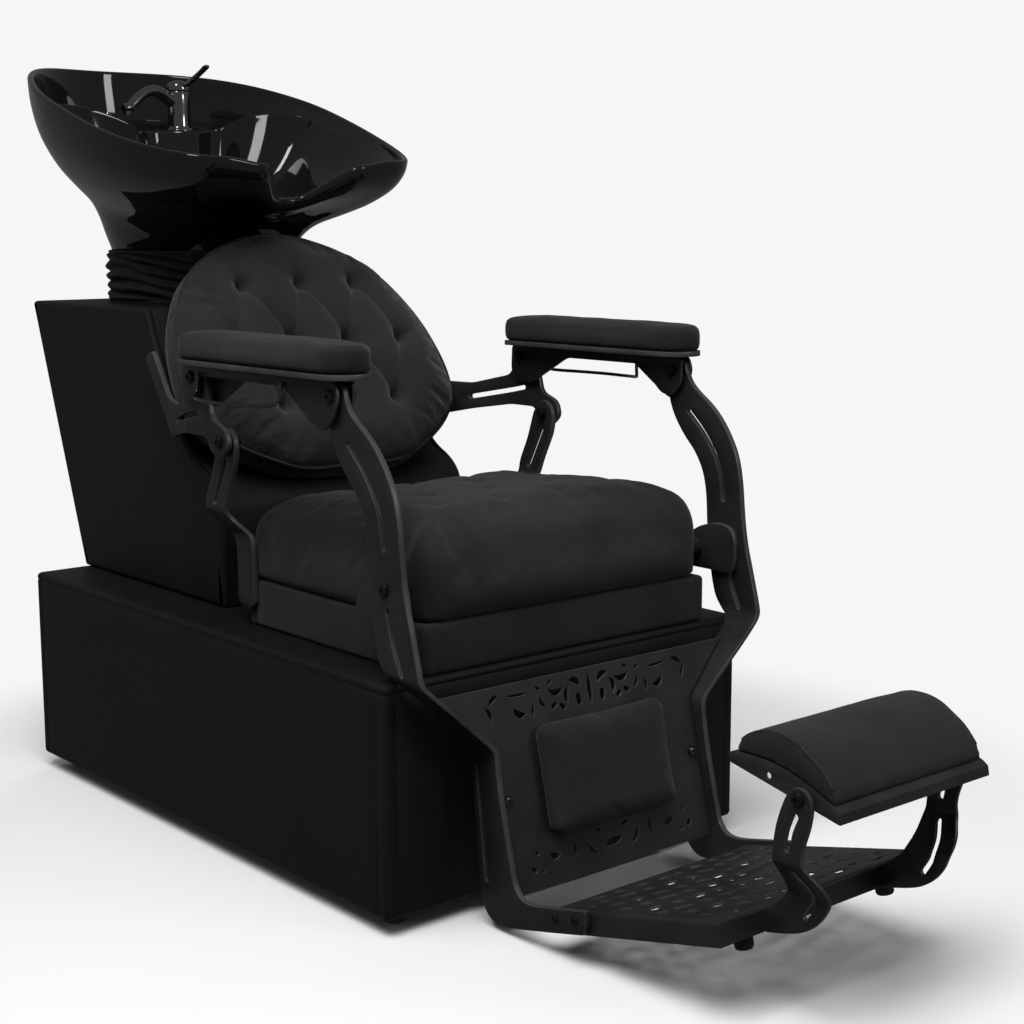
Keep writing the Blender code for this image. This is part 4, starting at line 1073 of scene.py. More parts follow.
for nm, sx in (("left", -1), ("right", 1)):
    AO = densify(arm_outline(), 0.012)
    z0 = BOARD_Z[1] + GAP
    levels = [(z0, 0.005, 1.0), (z0 + 0.003, 0.0015, 1.0), (z0 + 0.012, 0.0005, 1.0),
              (PAD_TOP - 0.012, 0.0008, 1.0), (PAD_TOP - 0.006, 0.0030, 1.0),
              (PAD_TOP - 0.0030, 0.0075, 1.0), (PAD_TOP - 0.0015, 0.015, 1.0)]
    bm = lofted(AO, levels, (0.0, 0.25), lambda u, v, h: (sx * ARM_X + u, v, h))
    me = inflate("arm_" + nm, to_mesh(bm, "arm_cut"), 0.0035, 2.2, 0.0022,
                 pinned=lambda c: c[:, 2] < z0 + 0.002)
    co = get_co(me)
    co[:, 2] += fbm(co, 26.0, 2.2 + sx, 2) * 0.0006 * np.clip((co[:, 2] - z0 - 0.01) / 0.015, 0, 1)
    set_co(me, co)
    ob = link("arm_pad_cover_" + nm, me, "armrest_" + nm, ("arm_pad_" + nm,), (SUEDE,), 60.0)

# ---- calf pad
PANEL_TILT = math.atan(0.25)
PSIN, PCOS = math.sin(PANEL_TILT), math.cos(PANEL_TILT)
P_LOW = (-0.080, 0.046)


def panel(u, s, n):
    return (u, P_LOW[0] + s * PSIN - n * PCOS, P_LOW[1] + s * PCOS + n * PSIN)


CALF = densify(rect_loop((-0.106, 0.106), (0.056, 0.196), 0.017), 0.012)
levels = [(0.0034, 0.004, 1.0), (0.006, 0.001, 1.0), (0.014, 0.0005, 1.0), (0.0195, 0.003, 1.0),
          (0.0235, 0.009, 1.0), (0.0255, 0.0145, 0.97), (0.0268, 0.0145, 0.80)]
bm = lofted(CALF, levels, (0.0, 0.126), panel)
me = inflate("calf", to_mesh(bm, "calf_cut"), 0.0038, 2.6, 0.0034)
ob = link("calf_pad_cover", me, "foot_frame", ("calf_pad",), (VINYL_PAD,), 60.0)

# ---- leg rest pad: bolster with flat sewn ends
TY0, TZ0, TY1, TZ1, TRAY_HALF = -0.383, 0.289, -0.5315, 0.2575, 0.1264


def tray_top(t):
    return (TY0 + (TY1 - TY0) * t, TZ0 + (TZ1 - TZ0) * t + 0.012 * math.sin(math.pi * t))


def pad_ring(grow, x, n=36):
    up, dn = [], []
    for k in range(n + 1):
        t = k / n
        y, z = tray_top(0.045 + 0.91 * t)
        dn.append((x, y, z + 0.0006))
        up.append((x, y, z + 0.0008 + 0.0350 * grow * max(0.0, math.sin(math.pi * t)) ** 0.46))
    return up + dn[-2:0:-1]


rings = [pad_ring(g, x) for x, g in ((-0.1235, 0.93), (-0.1225, 0.975), (-0.116, 0.99), (-0.08, 1.0),
                                     (0.0, 1.0), (0.08, 1.0),
                                     (0.116, 0.99), (0.1225, 0.975), (0.1235, 0.93))]


def tray_height(c):
    t = np.clip((c[:, 1] + SHIFT - TY0) / (TY1 - TY0), 0, 1)
    return TZ0 + (TZ1 - TZ0) * t + 0.012 * np.sin(np.pi * t)


me = inflate("leg_rest", to_mesh(stack(rings), "leg_rest_cut"), 0.0036, 2.6, 0.0036,
             pinned=lambda c: c[:, 2] < tray_height(c) + 0.0022)
co = get_co(me)
lift = np.clip((co[:, 2] - tray_height(co)) / 0.02, 0, 1)
co[:, 2] += fbm(co, 15.0, 6.6, 2) * 0.0010 * lift
low = tray_height(co) + 0.0005
co[:, 2] = np.maximum(co[:, 2], low)
set_co(me, co)
pad_co = co + np.array([0, SHIFT, 0])
ob = link("leg_rest_pad_cover", me, "leg_rest", ("leg_rest_pad",), (SUEDE,), 60.0)
# sewn seams at the bolster's ends
bms = []
for sx in (-1, 1):
    pts = []
    edge = np.abs(pad_co[:, 0]).max() - 0.0046
    for k in range(33):
        t = k / 32
        y, z = tray_top(0.09 + 0.82 * t)
        near = np.hypot((pad_co[:, 1] - y) / 1.0, (pad_co[:, 0] - sx * edge) / 0.6)
        up = pad_co[:, 2] > z + 0.004
        idx = np.argsort(near + np.where(up, 0.0, 1.0))[:6]
        zz = pad_co[idx, 2].mean()
        pts.append((sx * edge, y, zz - 0.0002))
    ys = [p[2] for p in pts]
    for _ in range(3):
        ys = [ys[0]] + [(ys[i - 1] + 2 * ys[i] + ys[i + 1]) / 4 for i in range(1, len(ys) - 1)] + [ys[-1]]
    pts = [(p[0], p[1], z) for p, z in zip(pts, ys)]
    bms.append(tube(catmull(pts, 2), 0.0016, 8))
link("leg_rest_seams", to_mesh(merge(*bms), "leg_rest_seams"), "leg_rest", (), (SUEDE,), 60.0)


# ================================================================ steel plates
PLATE, LEG_X, FOOT_X = 0.008, 0.285, 0.176
JOG_TOP, JOG_LOW = 0.318, 0.222
O2, A2, B2, O4 = (0.367, 0.561), (0.422, 0.643), (0.101, 0.640), (0.009, 0.422)
BOLT_R = 0.004
HOLE_R, OPEN_HOLE_R = BOLT_R + 0.0006, BOLT_R + 0.0016
CHEEK, CHEEK_OUT_X, CHEEK_IN_X = 0.004, 0.2950, 0.2740
SIDES = (("left", -1), ("right", 1))

REAR_LEG = round_poly([(0.400, 0.336), (0.400, 0.420), (0.425, 0.452), (0.424, 0.480), (0.404, 0.520),
                       (0.388, 0.567), (0.367, 0.582), (0.347, 0.566), (0.349, 0.535), (0.372, 0.490),
                       (0.384, 0.460), (0.362, 0.425), (0.360, 0.336)], 0.014)
HUB_X = (0.2725, 0.2805)
FRONT_HUB = round_poly([(-0.016, 0.372), (0.076, 0.372), (0.080, 0.388), (0.076, 0.404), (0.064, 0.419),
                        (0.046, 0.430),
                        (0.022, 0.437), (0.000, 0.437), (-0.014, 0.431), (-0.020, 0.415), (-0.020, 0.388)],
                        0.008)


def rear_leg_shift(y, z):
    return 0.2425 + soft_step(z, 0.432, 0.468, 0.005) * (0.274 - 0.2425)


def arm_shift(y, z):
    return LEG_X + soft_step(y, 0.455, 0.585, 0.008) * (0.2320 - LEG_X)


def leg_shift(y, z):
    return FOOT_X + soft_step(z, JOG_LOW, JOG_TOP, 0.009) * (LEG_X - FOOT_X)


def back_yz(s, n):
    p = back(0, s, n)
    return (p[1], p[2])


BACK_ARM = round_poly([(0.398, 0.640), (0.405, 0.658), (0.436, 0.660), (0.446, 0.640), (0.455, 0.612),
                       (0.520, 0.596),
                       back_yz(0.070, -0.0200), back_yz(0.150, -0.0200), back_yz(0.150, -0.0440),
                       back_yz(0.020, -0.0440), (0.520, 0.556), (0.455, 0.566), (0.400, 0.566),
                       (0.388, 0.545), (0.365, 0.539),
                       (0.345, 0.556), (0.352, 0.578), (0.385, 0.590)], 0.010)
LEG = [(0.082, 0.636), (0.086, 0.652), (0.101, 0.658), (0.117, 0.650), (0.120, 0.634), (0.113, 0.590),
       (0.089, 0.554),
       (0.060, 0.527), (0.042, 0.489), (0.039, 0.417), (0.027, 0.345), (0.014, 0.322), (-0.010, 0.310),
       (-0.014, 0.290),
       (-0.012, 0.216), (-0.030, 0.050), (-0.034, 0.026), (-0.050, 0.010), (-0.072, 0.0075),
       (-0.150, 0.026),
       (-0.214, 0.0425), (-0.218, 0.0525), (-0.216, 0.0720), (-0.158, 0.0580), (-0.115, 0.0485),
       (-0.096, 0.058),
       (-0.088, 0.078), (-0.055, 0.214), (-0.060, 0.306), (-0.042, 0.372), (-0.026, 0.427), (-0.018, 0.519),
       (0.004, 0.562), (0.032, 0.594), (0.070, 0.618)]


def smooth_outline(poly, sharp=(), r_sharp=0.003):
    """Corner-cutting curve, except at the corners named by index."""
    out = []
    m_ = len(poly)
    for i in range(m_):
        p, a, b = Vector(poly[i]), Vector(poly[i - 1]), Vector(poly[(i + 1) % m_])
        da, db = a - p, b - p
        if i in sharp:
            ra = rb = r_sharp
        else:
            ra, rb = da.length * 0.5, db.length * 0.5
            if (i - 1) % m_ in sharp:
                ra = da.length * 0.8
            if (i + 1) % m_ in sharp:
                rb = db.length * 0.8
        p0, p1 = p + da.normalized() * ra, p + db.normalized() * rb
        n_ = 8
        for k in range(n_ + 1):
            t = k / n_
            q = p0 * ((1 - t) ** 2) + p * (2 * t * (1 - t)) + p1 * (t ** 2)
            out.append((q.x, q.y))
    return clean(out, 2e-4)


LEG_OUT = smooth_outline(LEG, sharp=(20, 22))
LEG_HOLES = [circle(O4, HOLE_R, 20),
             slot_path([(0.078, 0.586), (0.052, 0.562), (0.034, 0.540), (0.018, 0.512), (0.010, 0.470)],
                       0.0031),
             slot_path([(0.004, 0.398), (-0.006, 0.360), (-0.022, 0.326)], 0.0031),
             slot_path([(-0.042, 0.060), (-0.026, 0.196)], 0.0029)]
ARM_CUTS = bend_cuts([0.455, 0.585], 0.008, 'y')
LEG_CUTS = bend_cuts([JOG_LOW, JOG_TOP], 0.009, 'z')
REAR_CUTS = bend_cuts([0.432, 0.468], 0.005, 'z')

for nm, sx in SIDES:
    side_plate("front_leg_plate_" + nm, LEG_OUT, [circle(B2, OPEN_HOLE_R, 20)] + LEG_HOLES, PLATE, sx,
               "foot_frame",
               ("front_leg_" + nm,), leg_shift, LEG_CUTS, 0.0009)
    side_plate("back_arm_plate_" + nm, BACK_ARM, [circle(O2, HOLE_R, 20), circle(A2, HOLE_R, 20),
               slot_path([(0.425, 0.594), (0.520, 0.575)], 0.0035)], PLATE, sx, "back", ("back_arm_" + nm,),
               arm_shift, ARM_CUTS, 0.0009)
    side_plate("rear_bracket_plate_" + nm, REAR_LEG,
               [circle(O2, HOLE_R, 20), slot_path([(0.372, 0.535), (0.402, 0.478)], 0.0035)],
               PLATE, sx, "base", ("rear_bracket_" + nm,), rear_leg_shift, REAR_CUTS, 0.0009)
    # seat pivot: plate beside the leg on a boss and a foot block
    hub = plate(FRONT_HUB, [], HUB_X[1] - HUB_X[0], 0.0009)
    for v in hub.verts:
        y, z, w = v.co
        v.co = Vector((sx * (HUB_X[0] + w), y, z))
    boss = turned((sx * 0.2435, 0.054, 0.400), (sx * 0.30, 0.054, 0.400),
                  [(0.0, 0.0158), (0.0014, 0.0158), (0.0024, 0.0142), (0.0288, 0.0140), (0.0296, 0.0130)],
                  32)
    flange = plate(round_poly([(0.036, 0.330), (0.084, 0.330), (0.084, 0.425), (0.036, 0.425)], 0.010), [],
                   0.006, 0.0008)
    for v in flange.verts:
        y, z, w = v.co
        v.co = Vector((sx * (0.2385 + w), y, z))
    link("seat_pivot_hub_" + nm, to_mesh(merge(hub, boss, flange), "hub"), "base",
         ("seat_pivot_" + nm,),
         (STEEL, STEEL_EDGE_AND_HIGHLIGHT), 32.0)

    # pivot bolts: button head, shank, and a nut on the inside
    def stud(name, body, c, x0, x1, nut, nodes):
        parts = [bolt_head((sx * x1, c[0], c[1]), (sx * (x1 + 0.01), c[0], c[1]), 0.0085, 0.0046, 0.0027)]
        prof = [(0.0, BOLT_R), (x1 - x0 + 0.0004, BOLT_R)]
        parts.append(turned((sx * x0, c[0], c[1]), (sx * x1, c[0], c[1]), prof, 20))
        if nut:
            loops = []
            for s, r in ((0.0, 0.0062), (0.0008, 0.0076), (nut - 0.0008, 0.0076), (nut, 0.0066)):
                loops.append([(sx * (x0 - 0.0008 + s), c[0] + r * math.cos(math.pi / 3 * k),
                               c[1] + r * math.sin(math.pi / 3 * k)) for k in range(6)])
            parts.append(stack(loops))
        link(name, to_mesh(merge(*parts), name), body, nodes, (BOLT,), 32.0)

    stud("leg_stud_" + nm, "base", O4, LEG_X - PLATE / 2 - 0.0002, LEG_X + PLATE / 2 + 0.0002, 0,
         ("leg_bolt_" + nm,))
    stud("back_stud_" + nm, "base", O2, 0.2600, LEG_X + PLATE / 2 + 0.0002, 0.0085, ("back_bolt_" + nm,))
    stud("arm_stud_front_" + nm, "armrest_" + nm, B2, 0.2640, 0.2972, 0.0070, ("arm_bolt_front_" + nm,))
    stud("arm_stud_rear_" + nm, "armrest_" + nm, A2, 0.2640, 0.2972, 0.0070, ("arm_bolt_rear_" + nm,))

# ---- armrest boards, cheeks and towel rails
CHEEK_TOP = BOARD_Z[0] - GAP
OUTER_CHEEK = [(0.092, CHEEK_TOP), (0.084, 0.640), (0.096, 0.612), (0.118, 0.596), (0.138, 0.604),
               (0.200, 0.645), (0.402, 0.646), (0.406, 0.616), (0.424, 0.612), (0.440, 0.618),
               (0.444, 0.640), (0.440, CHEEK_TOP)]
INNER_CHEEK = [(0.084, CHEEK_TOP), (0.084, 0.622), (0.100, 0.606), (0.120, 0.606), (0.165, 0.645),
               (0.318, 0.645),
               (0.395, 0.604), (0.432, 0.604), (0.444, 0.620), (0.442, CHEEK_TOP)]
for nm, sx in SIDES:
    bm = plate(arm_outline(0.0), [], BOARD_Z[1] - BOARD_Z[0], 0.0008)
    for v in bm.verts:
        v.co = Vector((sx * ARM_X + v.co.x, v.co.y, BOARD_Z[0] + v.co.z))
    link("arm_board_plate_" + nm, to_mesh(bm, "board"), "armrest_" + nm,
         ("arm_board_" + nm,), (STEEL, STEEL_EDGE_AND_HIGHLIGHT), 32.0)
    side_plate("arm_cheek_out_" + nm, round_poly(OUTER_CHEEK, 0.009),
               [circle(B2, HOLE_R, 20), circle(A2, HOLE_R, 20)],
               CHEEK, sx, "armrest_" + nm, ("arm_cheek_outer_" + nm,), lambda y, z: CHEEK_OUT_X, (), 0.0006)
    side_plate("arm_cheek_in_" + nm, round_poly(INNER_CHEEK, 0.009),
               [circle(B2, HOLE_R, 20), circle(A2, HOLE_R, 20)],
               CHEEK, sx, "armrest_" + nm, ("arm_cheek_inner_" + nm,), lambda y, z: CHEEK_IN_X, (), 0.0006)
    xi = 0.3002
    rail = [(sx * xi, 0.398, 0.6515), (sx * xi, 0.398, 0.640), (sx * (xi + 0.0012), 0.3972, 0.628),
            (sx * (xi + 0.006), 0.392, 0.6225),
            (sx * (xi + 0.017), 0.378, 0.6205), (sx * (xi + 0.026), 0.350, 0.620),
            (sx * (xi + 0.0298), 0.300, 0.620),
            (sx * (xi + 0.026), 0.250, 0.620), (sx * (xi + 0.014), 0.216, 0.6215),
            (sx * (xi + 0.005), 0.2045, 0.6255),
            (sx * (xi + 0.0008), 0.2005, 0.634), (sx * xi, 0.200, 0.6515)]
    link("towel_wire_" + nm, to_mesh(tube(catmull(rail, 8), 0.0024, 14), "rail"), "armrest_" + nm,
         ("towel_rail_" + nm,), (CHROME_DARK,), 50.0)


# ---- cut-out shapes
def leaf(cx, cy, lx, ly, ang, bend=0.0, point=1.0, n=9):
    """Leaf with pointed ends on a bent middle line."""
    ca, sa = math.cos(math.radians(ang)), math.sin(math.radians(ang))
    up, dn = [], []
    for k in range(n + 1):
        t = -1 + 2 * k / n
        w = ly * max(0.0, 1 - abs(t) ** 2.0) ** (0.5 * point) if point < 1 else ly * (1 - t * t) ** point
        c = (lx * t, bend * (t * t - 0.5))
        d = Vector((lx, 2 * bend * t)).normalized()
        up.append((c[0] - d.y * w, c[1] + d.x * w))
        dn.append((c[0] + d.y * w, c[1] - d.x * w))
    lp_ = clean(up + dn[::-1], 2e-4)
    return [(cx + p[0] * ca - p[1] * sa, cy + p[0] * sa + p[1] * ca) for p in lp_]


# ---- front panel
PANEL_H = 0.250
PANEL = round_poly([(-0.1710, 0.0), (0.1710, 0.0), (0.1705, 0.1830), (0.2450, PANEL_H), (-0.2450, PANEL_H),
                    (-0.1705, 0.1830)], 0.004)
holes = [leaf(0.0, 0.2225, 0.0205, 0.0036, 90)]
for sx in (-1, 1):
    def put(cx, cy, lx, ly, ang, bend=0.0, point=1.0):
        holes.append(leaf(sx * cx, cy, lx, ly, ang if sx > 0 else 180 - ang, bend * sx, point))
    put(0.0200, 0.2130, 0.0078, 0.0042, 84, 0.0, 0.5)
    put(0.0230, 0.2350, 0.0100, 0.0042, 28, -0.0045)
    put(0.0385, 0.2215, 0.0110, 0.0036, 100, 0.0035)
    put(0.0560, 0.2300, 0.0125, 0.0040, 4, 0.0060)
    put(0.0480, 0.2085, 0.0055, 0.0030, 40, 0.0, 0.5)
    put(0.0620, 0.2120, 0.0052, 0.0030, -30, 0.0, 0.5)
    put(0.0640, 0.2415, 0.0045, 0.0022, -35)
    put(0.0800, 0.2190, 0.0085, 0.0026, 62, 0.0025)
    put(0.0840, 0.2370, 0.0052, 0.0020, 25)
    put(0.0960, 0.2120, 0.0080, 0.0022, 96, 0.0015)
    put(0.1190, 0.2345, 0.0170, 0.0017, 3)
    put(0.1180, 0.2130, 0.0105, 0.0042, 28, 0.0050)
    put(0.1560, 0.2340, 0.0100, 0.0030, -32, -0.0026)
    put(0.1650, 0.2190, 0.0100, 0.0026, 66, -0.0020)
    # sparse band below the pad
    put(0.0220, 0.0480, 0.0060, 0.0024, 20)
    put(0.0370, 0.0290, 0.0120, 0.0032, 52, 0.0030)
    put(0.0660, 0.0350, 0.0115, 0.0028, 98, -0.0040)
    put(0.0980, 0.0345, 0.0090, 0.0048, 14, 0.0020)
    put(0.1250, 0.0430, 0.0042, 0.0022, 60, 0.0, 0.5)
    put(0.1330, 0.0240, 0.0050, 0.0034, 50, 0.0, 0.5)
    put(0.1190, 0.0200, 0.0032, 0.0022, 20, 0.0, 0.5)
holes.append(leaf(0.0, 0.0300, 0.0150, 0.0052, 8))
holes += [circle((sx * 0.158, 0.112), BOLT_R + 0.0005, 20) for sx in (-1, 1)]
bm = plate(PANEL, holes, 0.003, 0.0005)
for v in bm.verts:
    v.co = Vector(panel(v.co.x, v.co.y, v.co.z))
flat_face(link("front_panel_plate", to_mesh(bm, "front_panel"), "foot_frame",
               ("front_panel",), (STEEL, STEEL_EDGE_AND_HIGHLIGHT), 30.0))
for nm, sx in SIDES:
    head = bolt_head(panel(sx * 0.158, 0.112, 0.0032), panel(sx * 0.158, 0.112, 0.02), 0.0072, 0.0046,
                     0.0022)
    shank = turned(panel(sx * 0.158, 0.112, -0.004), panel(sx * 0.158, 0.112, 0.01),
                   [(0, BOLT_R), (0.0075, BOLT_R)], 16)
    link("panel_button_" + nm, to_mesh(merge(head, shank), "panel_button"), "foot_frame",
         ("panel_bolt_" + nm,), (CHROME_DARK,), 32.0)

# ---- foot plate: folded sheet with a scatter of openings
PLATE_HALF, PLATE_FRONT, PLATE_REAR_Y = 0.171, (-0.410, 0.1165), -0.150
FC, FS_ = math.cos(math.atan(0.249)), math.sin(math.atan(0.249))
F_LEN = (PLATE_REAR_Y - PLATE_FRONT[0]) / FC
FLANGE, SHEET = 0.027, 0.003


def fplate(u, t, n):
    return (u, PLATE_FRONT[0] + t * FC + n * FS_, PLATE_FRONT[1] - t * FS_ + n * FC)


FR = 0.0045
holes = []
SCATTER = [(0.000, 0.022, 0.0100, 0.0040, 10, 0.0020), (0.030, 0.030, 0.0085, 0.0042, -20, 0.0),
           (0.060, 0.026, 0.0120, 0.0042, 5, -0.002),
           (0.092, 0.034, 0.0075, 0.0036, 40, 0.0), (0.120, 0.022, 0.0100, 0.0036, -8, 0.002),
           (0.145, 0.040, 0.0070, 0.0040, 70, 0.0),
           (0.014, 0.050, 0.0062, 0.0046, 0, 0.0), (0.042, 0.056, 0.0110, 0.0038, 30, 0.002),
           (0.074, 0.060, 0.0070, 0.0050, 12, 0.0),
           (0.104, 0.062, 0.0120, 0.0040, -28, -0.002), (0.136, 0.070, 0.0060, 0.0045, 10, 0.0),
           (0.000, 0.078, 0.0120, 0.0044, 4, -0.002),
           (0.030, 0.086, 0.0062, 0.0042, -40, 0.0), (0.058, 0.090, 0.0120, 0.0040, 14, 0.003),
           (0.090, 0.092, 0.0078, 0.0046, 60, 0.0),
           (0.122, 0.098, 0.0120, 0.0036, 16, 0.002), (0.148, 0.104, 0.0050, 0.0036, 80, 0.0),
           (0.014, 0.110, 0.0105, 0.0050, 24, 0.0),
           (0.044, 0.118, 0.0068, 0.0050, 0, 0.0), (0.072, 0.122, 0.0120, 0.0040, -18, 0.002),
           (0.104, 0.124, 0.0070, 0.0044, 35, 0.0),
           (0.134, 0.132, 0.0105, 0.0036, -30, 0.002), (0.000, 0.140, 0.0085, 0.0042, 90, 0.0),
           (0.026, 0.146, 0.0100, 0.0050, -12, 0.0),
           (0.058, 0.152, 0.0070, 0.0046, 30, 0.0), (0.088, 0.156, 0.0125, 0.0036, 8, -0.003),
           (0.120, 0.160, 0.0068, 0.0044, -50, 0.0),
           (0.146, 0.166, 0.0080, 0.0034, 70, 0.001), (0.012, 0.174, 0.0120, 0.0040, 18, 0.002),
           (0.044, 0.180, 0.0060, 0.0044, -20, 0.0),
           (0.072, 0.186, 0.0110, 0.0040, 22, 0.0), (0.104, 0.190, 0.0075, 0.0046, -10, 0.0),
           (0.132, 0.196, 0.0110, 0.0036, 12, -0.002),
           (0.000, 0.204, 0.0085, 0.0044, 0, 0.0), (0.030, 0.212, 0.0110, 0.0038, -24, 0.002),
           (0.062, 0.218, 0.0070, 0.0044, 45, 0.0),
           (0.092, 0.222, 0.0120, 0.0038, 6, 0.002), (0.124, 0.228, 0.0070, 0.0042, -35, 0.0),
           (0.148, 0.222, 0.0055, 0.0034, 60, 0.0),
           (0.012, 0.240, 0.0080, 0.0036, 12, 0.0), (0.046, 0.244, 0.0095, 0.0036, -8, 0.001),
           (0.080, 0.248, 0.0070, 0.0034, 20, 0.0),
           (0.112, 0.250, 0.0085, 0.0034, -6, 0.0)]
for cx, cy, lx, ly, ang, bend in SCATTER:
    if cy > F_LEN - 0.010:
        continue
    ly *= 1.5
    holes.append(leaf(cx, cy, lx, ly, ang, bend, 0.6))
    if cx > 0.011:
        holes.append(leaf(-cx, cy, lx, ly, 180 - ang, -bend, 0.6))
sheet_top = plate([(-PLATE_HALF + FR, FR), (PLATE_HALF - FR, FR), (PLATE_HALF - FR, F_LEN),
                   (-PLATE_HALF + FR, F_LEN)], holes, SHEET, 0.0005)
for v in sheet_top.verts:
    v.co.z -= SHEET
# folded edge section: o outwards from the fold line, n downwards from the top face
section = []
for k in range(7):
    a = math.pi / 2 * k / 6
    section.append((FR * math.sin(a) - FR, -(FR - FR * math.cos(a))))
section += [(0.0, -FLANGE + 0.0008), (-0.0004, -FLANGE + 0.0002), (-0.0010, -FLANGE), (-0.0022, -FLANGE),
            (-SHEET + 0.0003, -FLANGE + 0.0003), (-SHEET, -FLANGE + 0.0009)]
for k in range(5):
    a = math.pi / 2 * (1 - k / 4)
    rr = FR - SHEET
    section.append((-FR + rr * math.sin(a), -SHEET - rr + rr * math.cos(a)))
dirs = [(-1, 0), (-1, -1), (1, -1), (1, 0)]
pts4 = [(-PLATE_HALF, F_LEN), (-PLATE_HALF, 0.0), (PLATE_HALF, 0.0), (PLATE_HALF, F_LEN)]
rings = []
for (px, py), (dx, dy) in zip(pts4, dirs):
    rings.append([(px + dx * o, py + dy * o, n) for o, n in section])
fold = stack(rings)
bm = merge(sheet_top, fold)
for v in bm.verts:
    v.co = Vector(fplate(v.co.x, v.co.y, v.co.z))
link("foot_plate_sheet", to_mesh(bm, "foot_plate"), "foot_frame", ("foot_plate",),
     (STEEL, STEEL_EDGE_AND_HIGHLIGHT), 32.0)

# rubber stops and the small screws of the foot frame
for nm, sx in SIDES:
    a, b = Vector(fplate(sx * 0.120, 0.016, -0.042)), Vector(fplate(sx * 0.120, 0.016, -SHEET - 0.0004))
    bm = turned(a, b, [(0.0, 0.0070), (0.0008, 0.0090), (0.0030, 0.0106), (0.008, 0.0110), (0.018, 0.0110),
                       (0.0190, 0.0102), (0.0200, 0.0110), ((b - a).length, 0.0110)], 36)
    link("foot_stop_" + nm, to_mesh(bm, "foot_stop"), "foot_frame", ("foot_plate_stop_" + nm,),
         (RUBBER,), 40.0)
    heads = []
    for yy, zz in ((-0.166, 0.0475), (-0.200, 0.0560)):
        heads.append(bolt_head((sx * (FOOT_X + PLATE / 2 + 0.0001), yy, zz), (sx * 0.2, yy, zz), 0.0056,
                               0.0026, 0.0017))
    link("foot_screws_" + nm, to_mesh(merge(*heads), "foot_screws"), "foot_frame", (), (BOLT,),
         32.0)


# ---- leg rest brackets
def s_shift(y, z):
    return 0.1000 + soft_step(z, 0.148, 0.188, 0.005) * (0.1303 - 0.1000)


FLIP = (-0.484, 0.2620)
S_PLATE = [(-0.4172, 0.0905), (-0.4110, 0.1150), (-0.438, 0.132), (-0.452, 0.155), (-0.450, 0.190),
           (-0.4535, 0.225),
           (-0.464, 0.256), (-0.474, 0.272), (-0.490, 0.275), (-0.503, 0.262), (-0.500, 0.235),
           (-0.489, 0.205),
           (-0.492, 0.185), (-0.505, 0.166), (-0.504, 0.142), (-0.487, 0.117), (-0.460, 0.100)]
S_OUT = smooth_outline(S_PLATE, sharp=(0, 1))
for nm, sx in SIDES:
    side_plate("leg_rest_link_" + nm, S_OUT, [circle(FLIP, HOLE_R, 20),
                                              slot_path([(-0.481, 0.242), (-0.474, 0.225), (-0.470, 0.205)],
                                                        0.0034),
               slot_path([(-0.474, 0.178), (-0.482, 0.160), (-0.482, 0.142), (-0.472, 0.124)], 0.0032)],
               0.005, sx, "foot_frame",
               ("leg_rest_bracket_" + nm,), s_shift, bend_cuts([0.148, 0.188], 0.005, 'z'), 0.0007)
    parts = [bolt_head((sx * 0.1332, FLIP[0], FLIP[1]), (sx * 0.15, FLIP[0], FLIP[1]), 0.0082, 0.0044,
                       0.0026),
             turned((sx * 0.1120, FLIP[0], FLIP[1]), (sx * 0.14, FLIP[0], FLIP[1]),
                    [(0, BOLT_R), (0.0214, BOLT_R)], 20)]
    loops = []
    for s, r in ((0.0, 0.0062), (0.0008, 0.0076), (0.0044, 0.0076), (0.0052, 0.0066)):
        loops.append([(sx * (0.1122 + s), FLIP[0] + r * math.cos(math.pi / 3 * k),
                       FLIP[1] + r * math.sin(math.pi / 3 * k)) for k in range(6)])
    parts.append(stack(loops))
    link("flip_stud_" + nm, to_mesh(merge(*parts), "flip_stud"), "foot_frame",
         ("flip_bolt_" + nm,), (BOLT,), 32.0)

# ---- leg rest tray
N_T = 24
top_line = [tray_top(k / N_T) for k in range(N_T + 1)]
sec = [(TY0, TZ0 - 0.0014)] + [(y, z) for y, z in top_line[1:-1]] + [(TY1, TZ1 - 0.0014),
    (TY1 - 0.002, TZ1 - 0.012), (TY1 + 0.001, TZ1 - 0.012), (TY1 + 0.0025, TZ1 - 0.003)]
sec += [(y, z - 0.003) for y, z in top_line[-2:0:-1]] + [(TY0 - 0.0035, TZ0 - 0.003),
                                                         (TY0 - 0.0035, TZ0 - 0.012), (TY0, TZ0 - 0.012)]
b1 = plate(sec, [], 2 * TRAY_HALF - 0.0002, 0.0005)
for v in b1.verts:
    y, z, w = v.co
    v.co = Vector((w - TRAY_HALF + 0.0001, y, z))
for f in b1.faces:
    f.material_index = 0
ends = []
END = [(y, z - 0.0015) for y, z in top_line] + [(TY1, TZ1 - 0.012), (TY0, TZ0 - 0.012)]
for sx in (-1, 1):
    e = plate(END, [circle(FLIP, HOLE_R, 20), circle((-0.438, 0.2745), 0.0035, 16)], 0.003, 0.0006)
    for v in e.verts:
        y, z, w = v.co
        v.co = Vector((sx * (TRAY_HALF - 0.003 + w), y, z))
    ends.append(e)
link("leg_rest_tray_sheet", to_mesh(merge(b1, *ends), "tray"), "leg_rest",
     ("leg_rest_tray",), (STEEL, STEEL_EDGE_AND_HIGHLIGHT), 32.0)


# ======================================================================= basin
BASIN_C, BASIN_A, BASIN_B = 0.850, 0.260, 0.360
NECK_C, NECK_A, NECK_B, NECK_Z0 = 0.890, 0.136, 0.150, 0.785
DECK_Z = 0.992
RING = 168


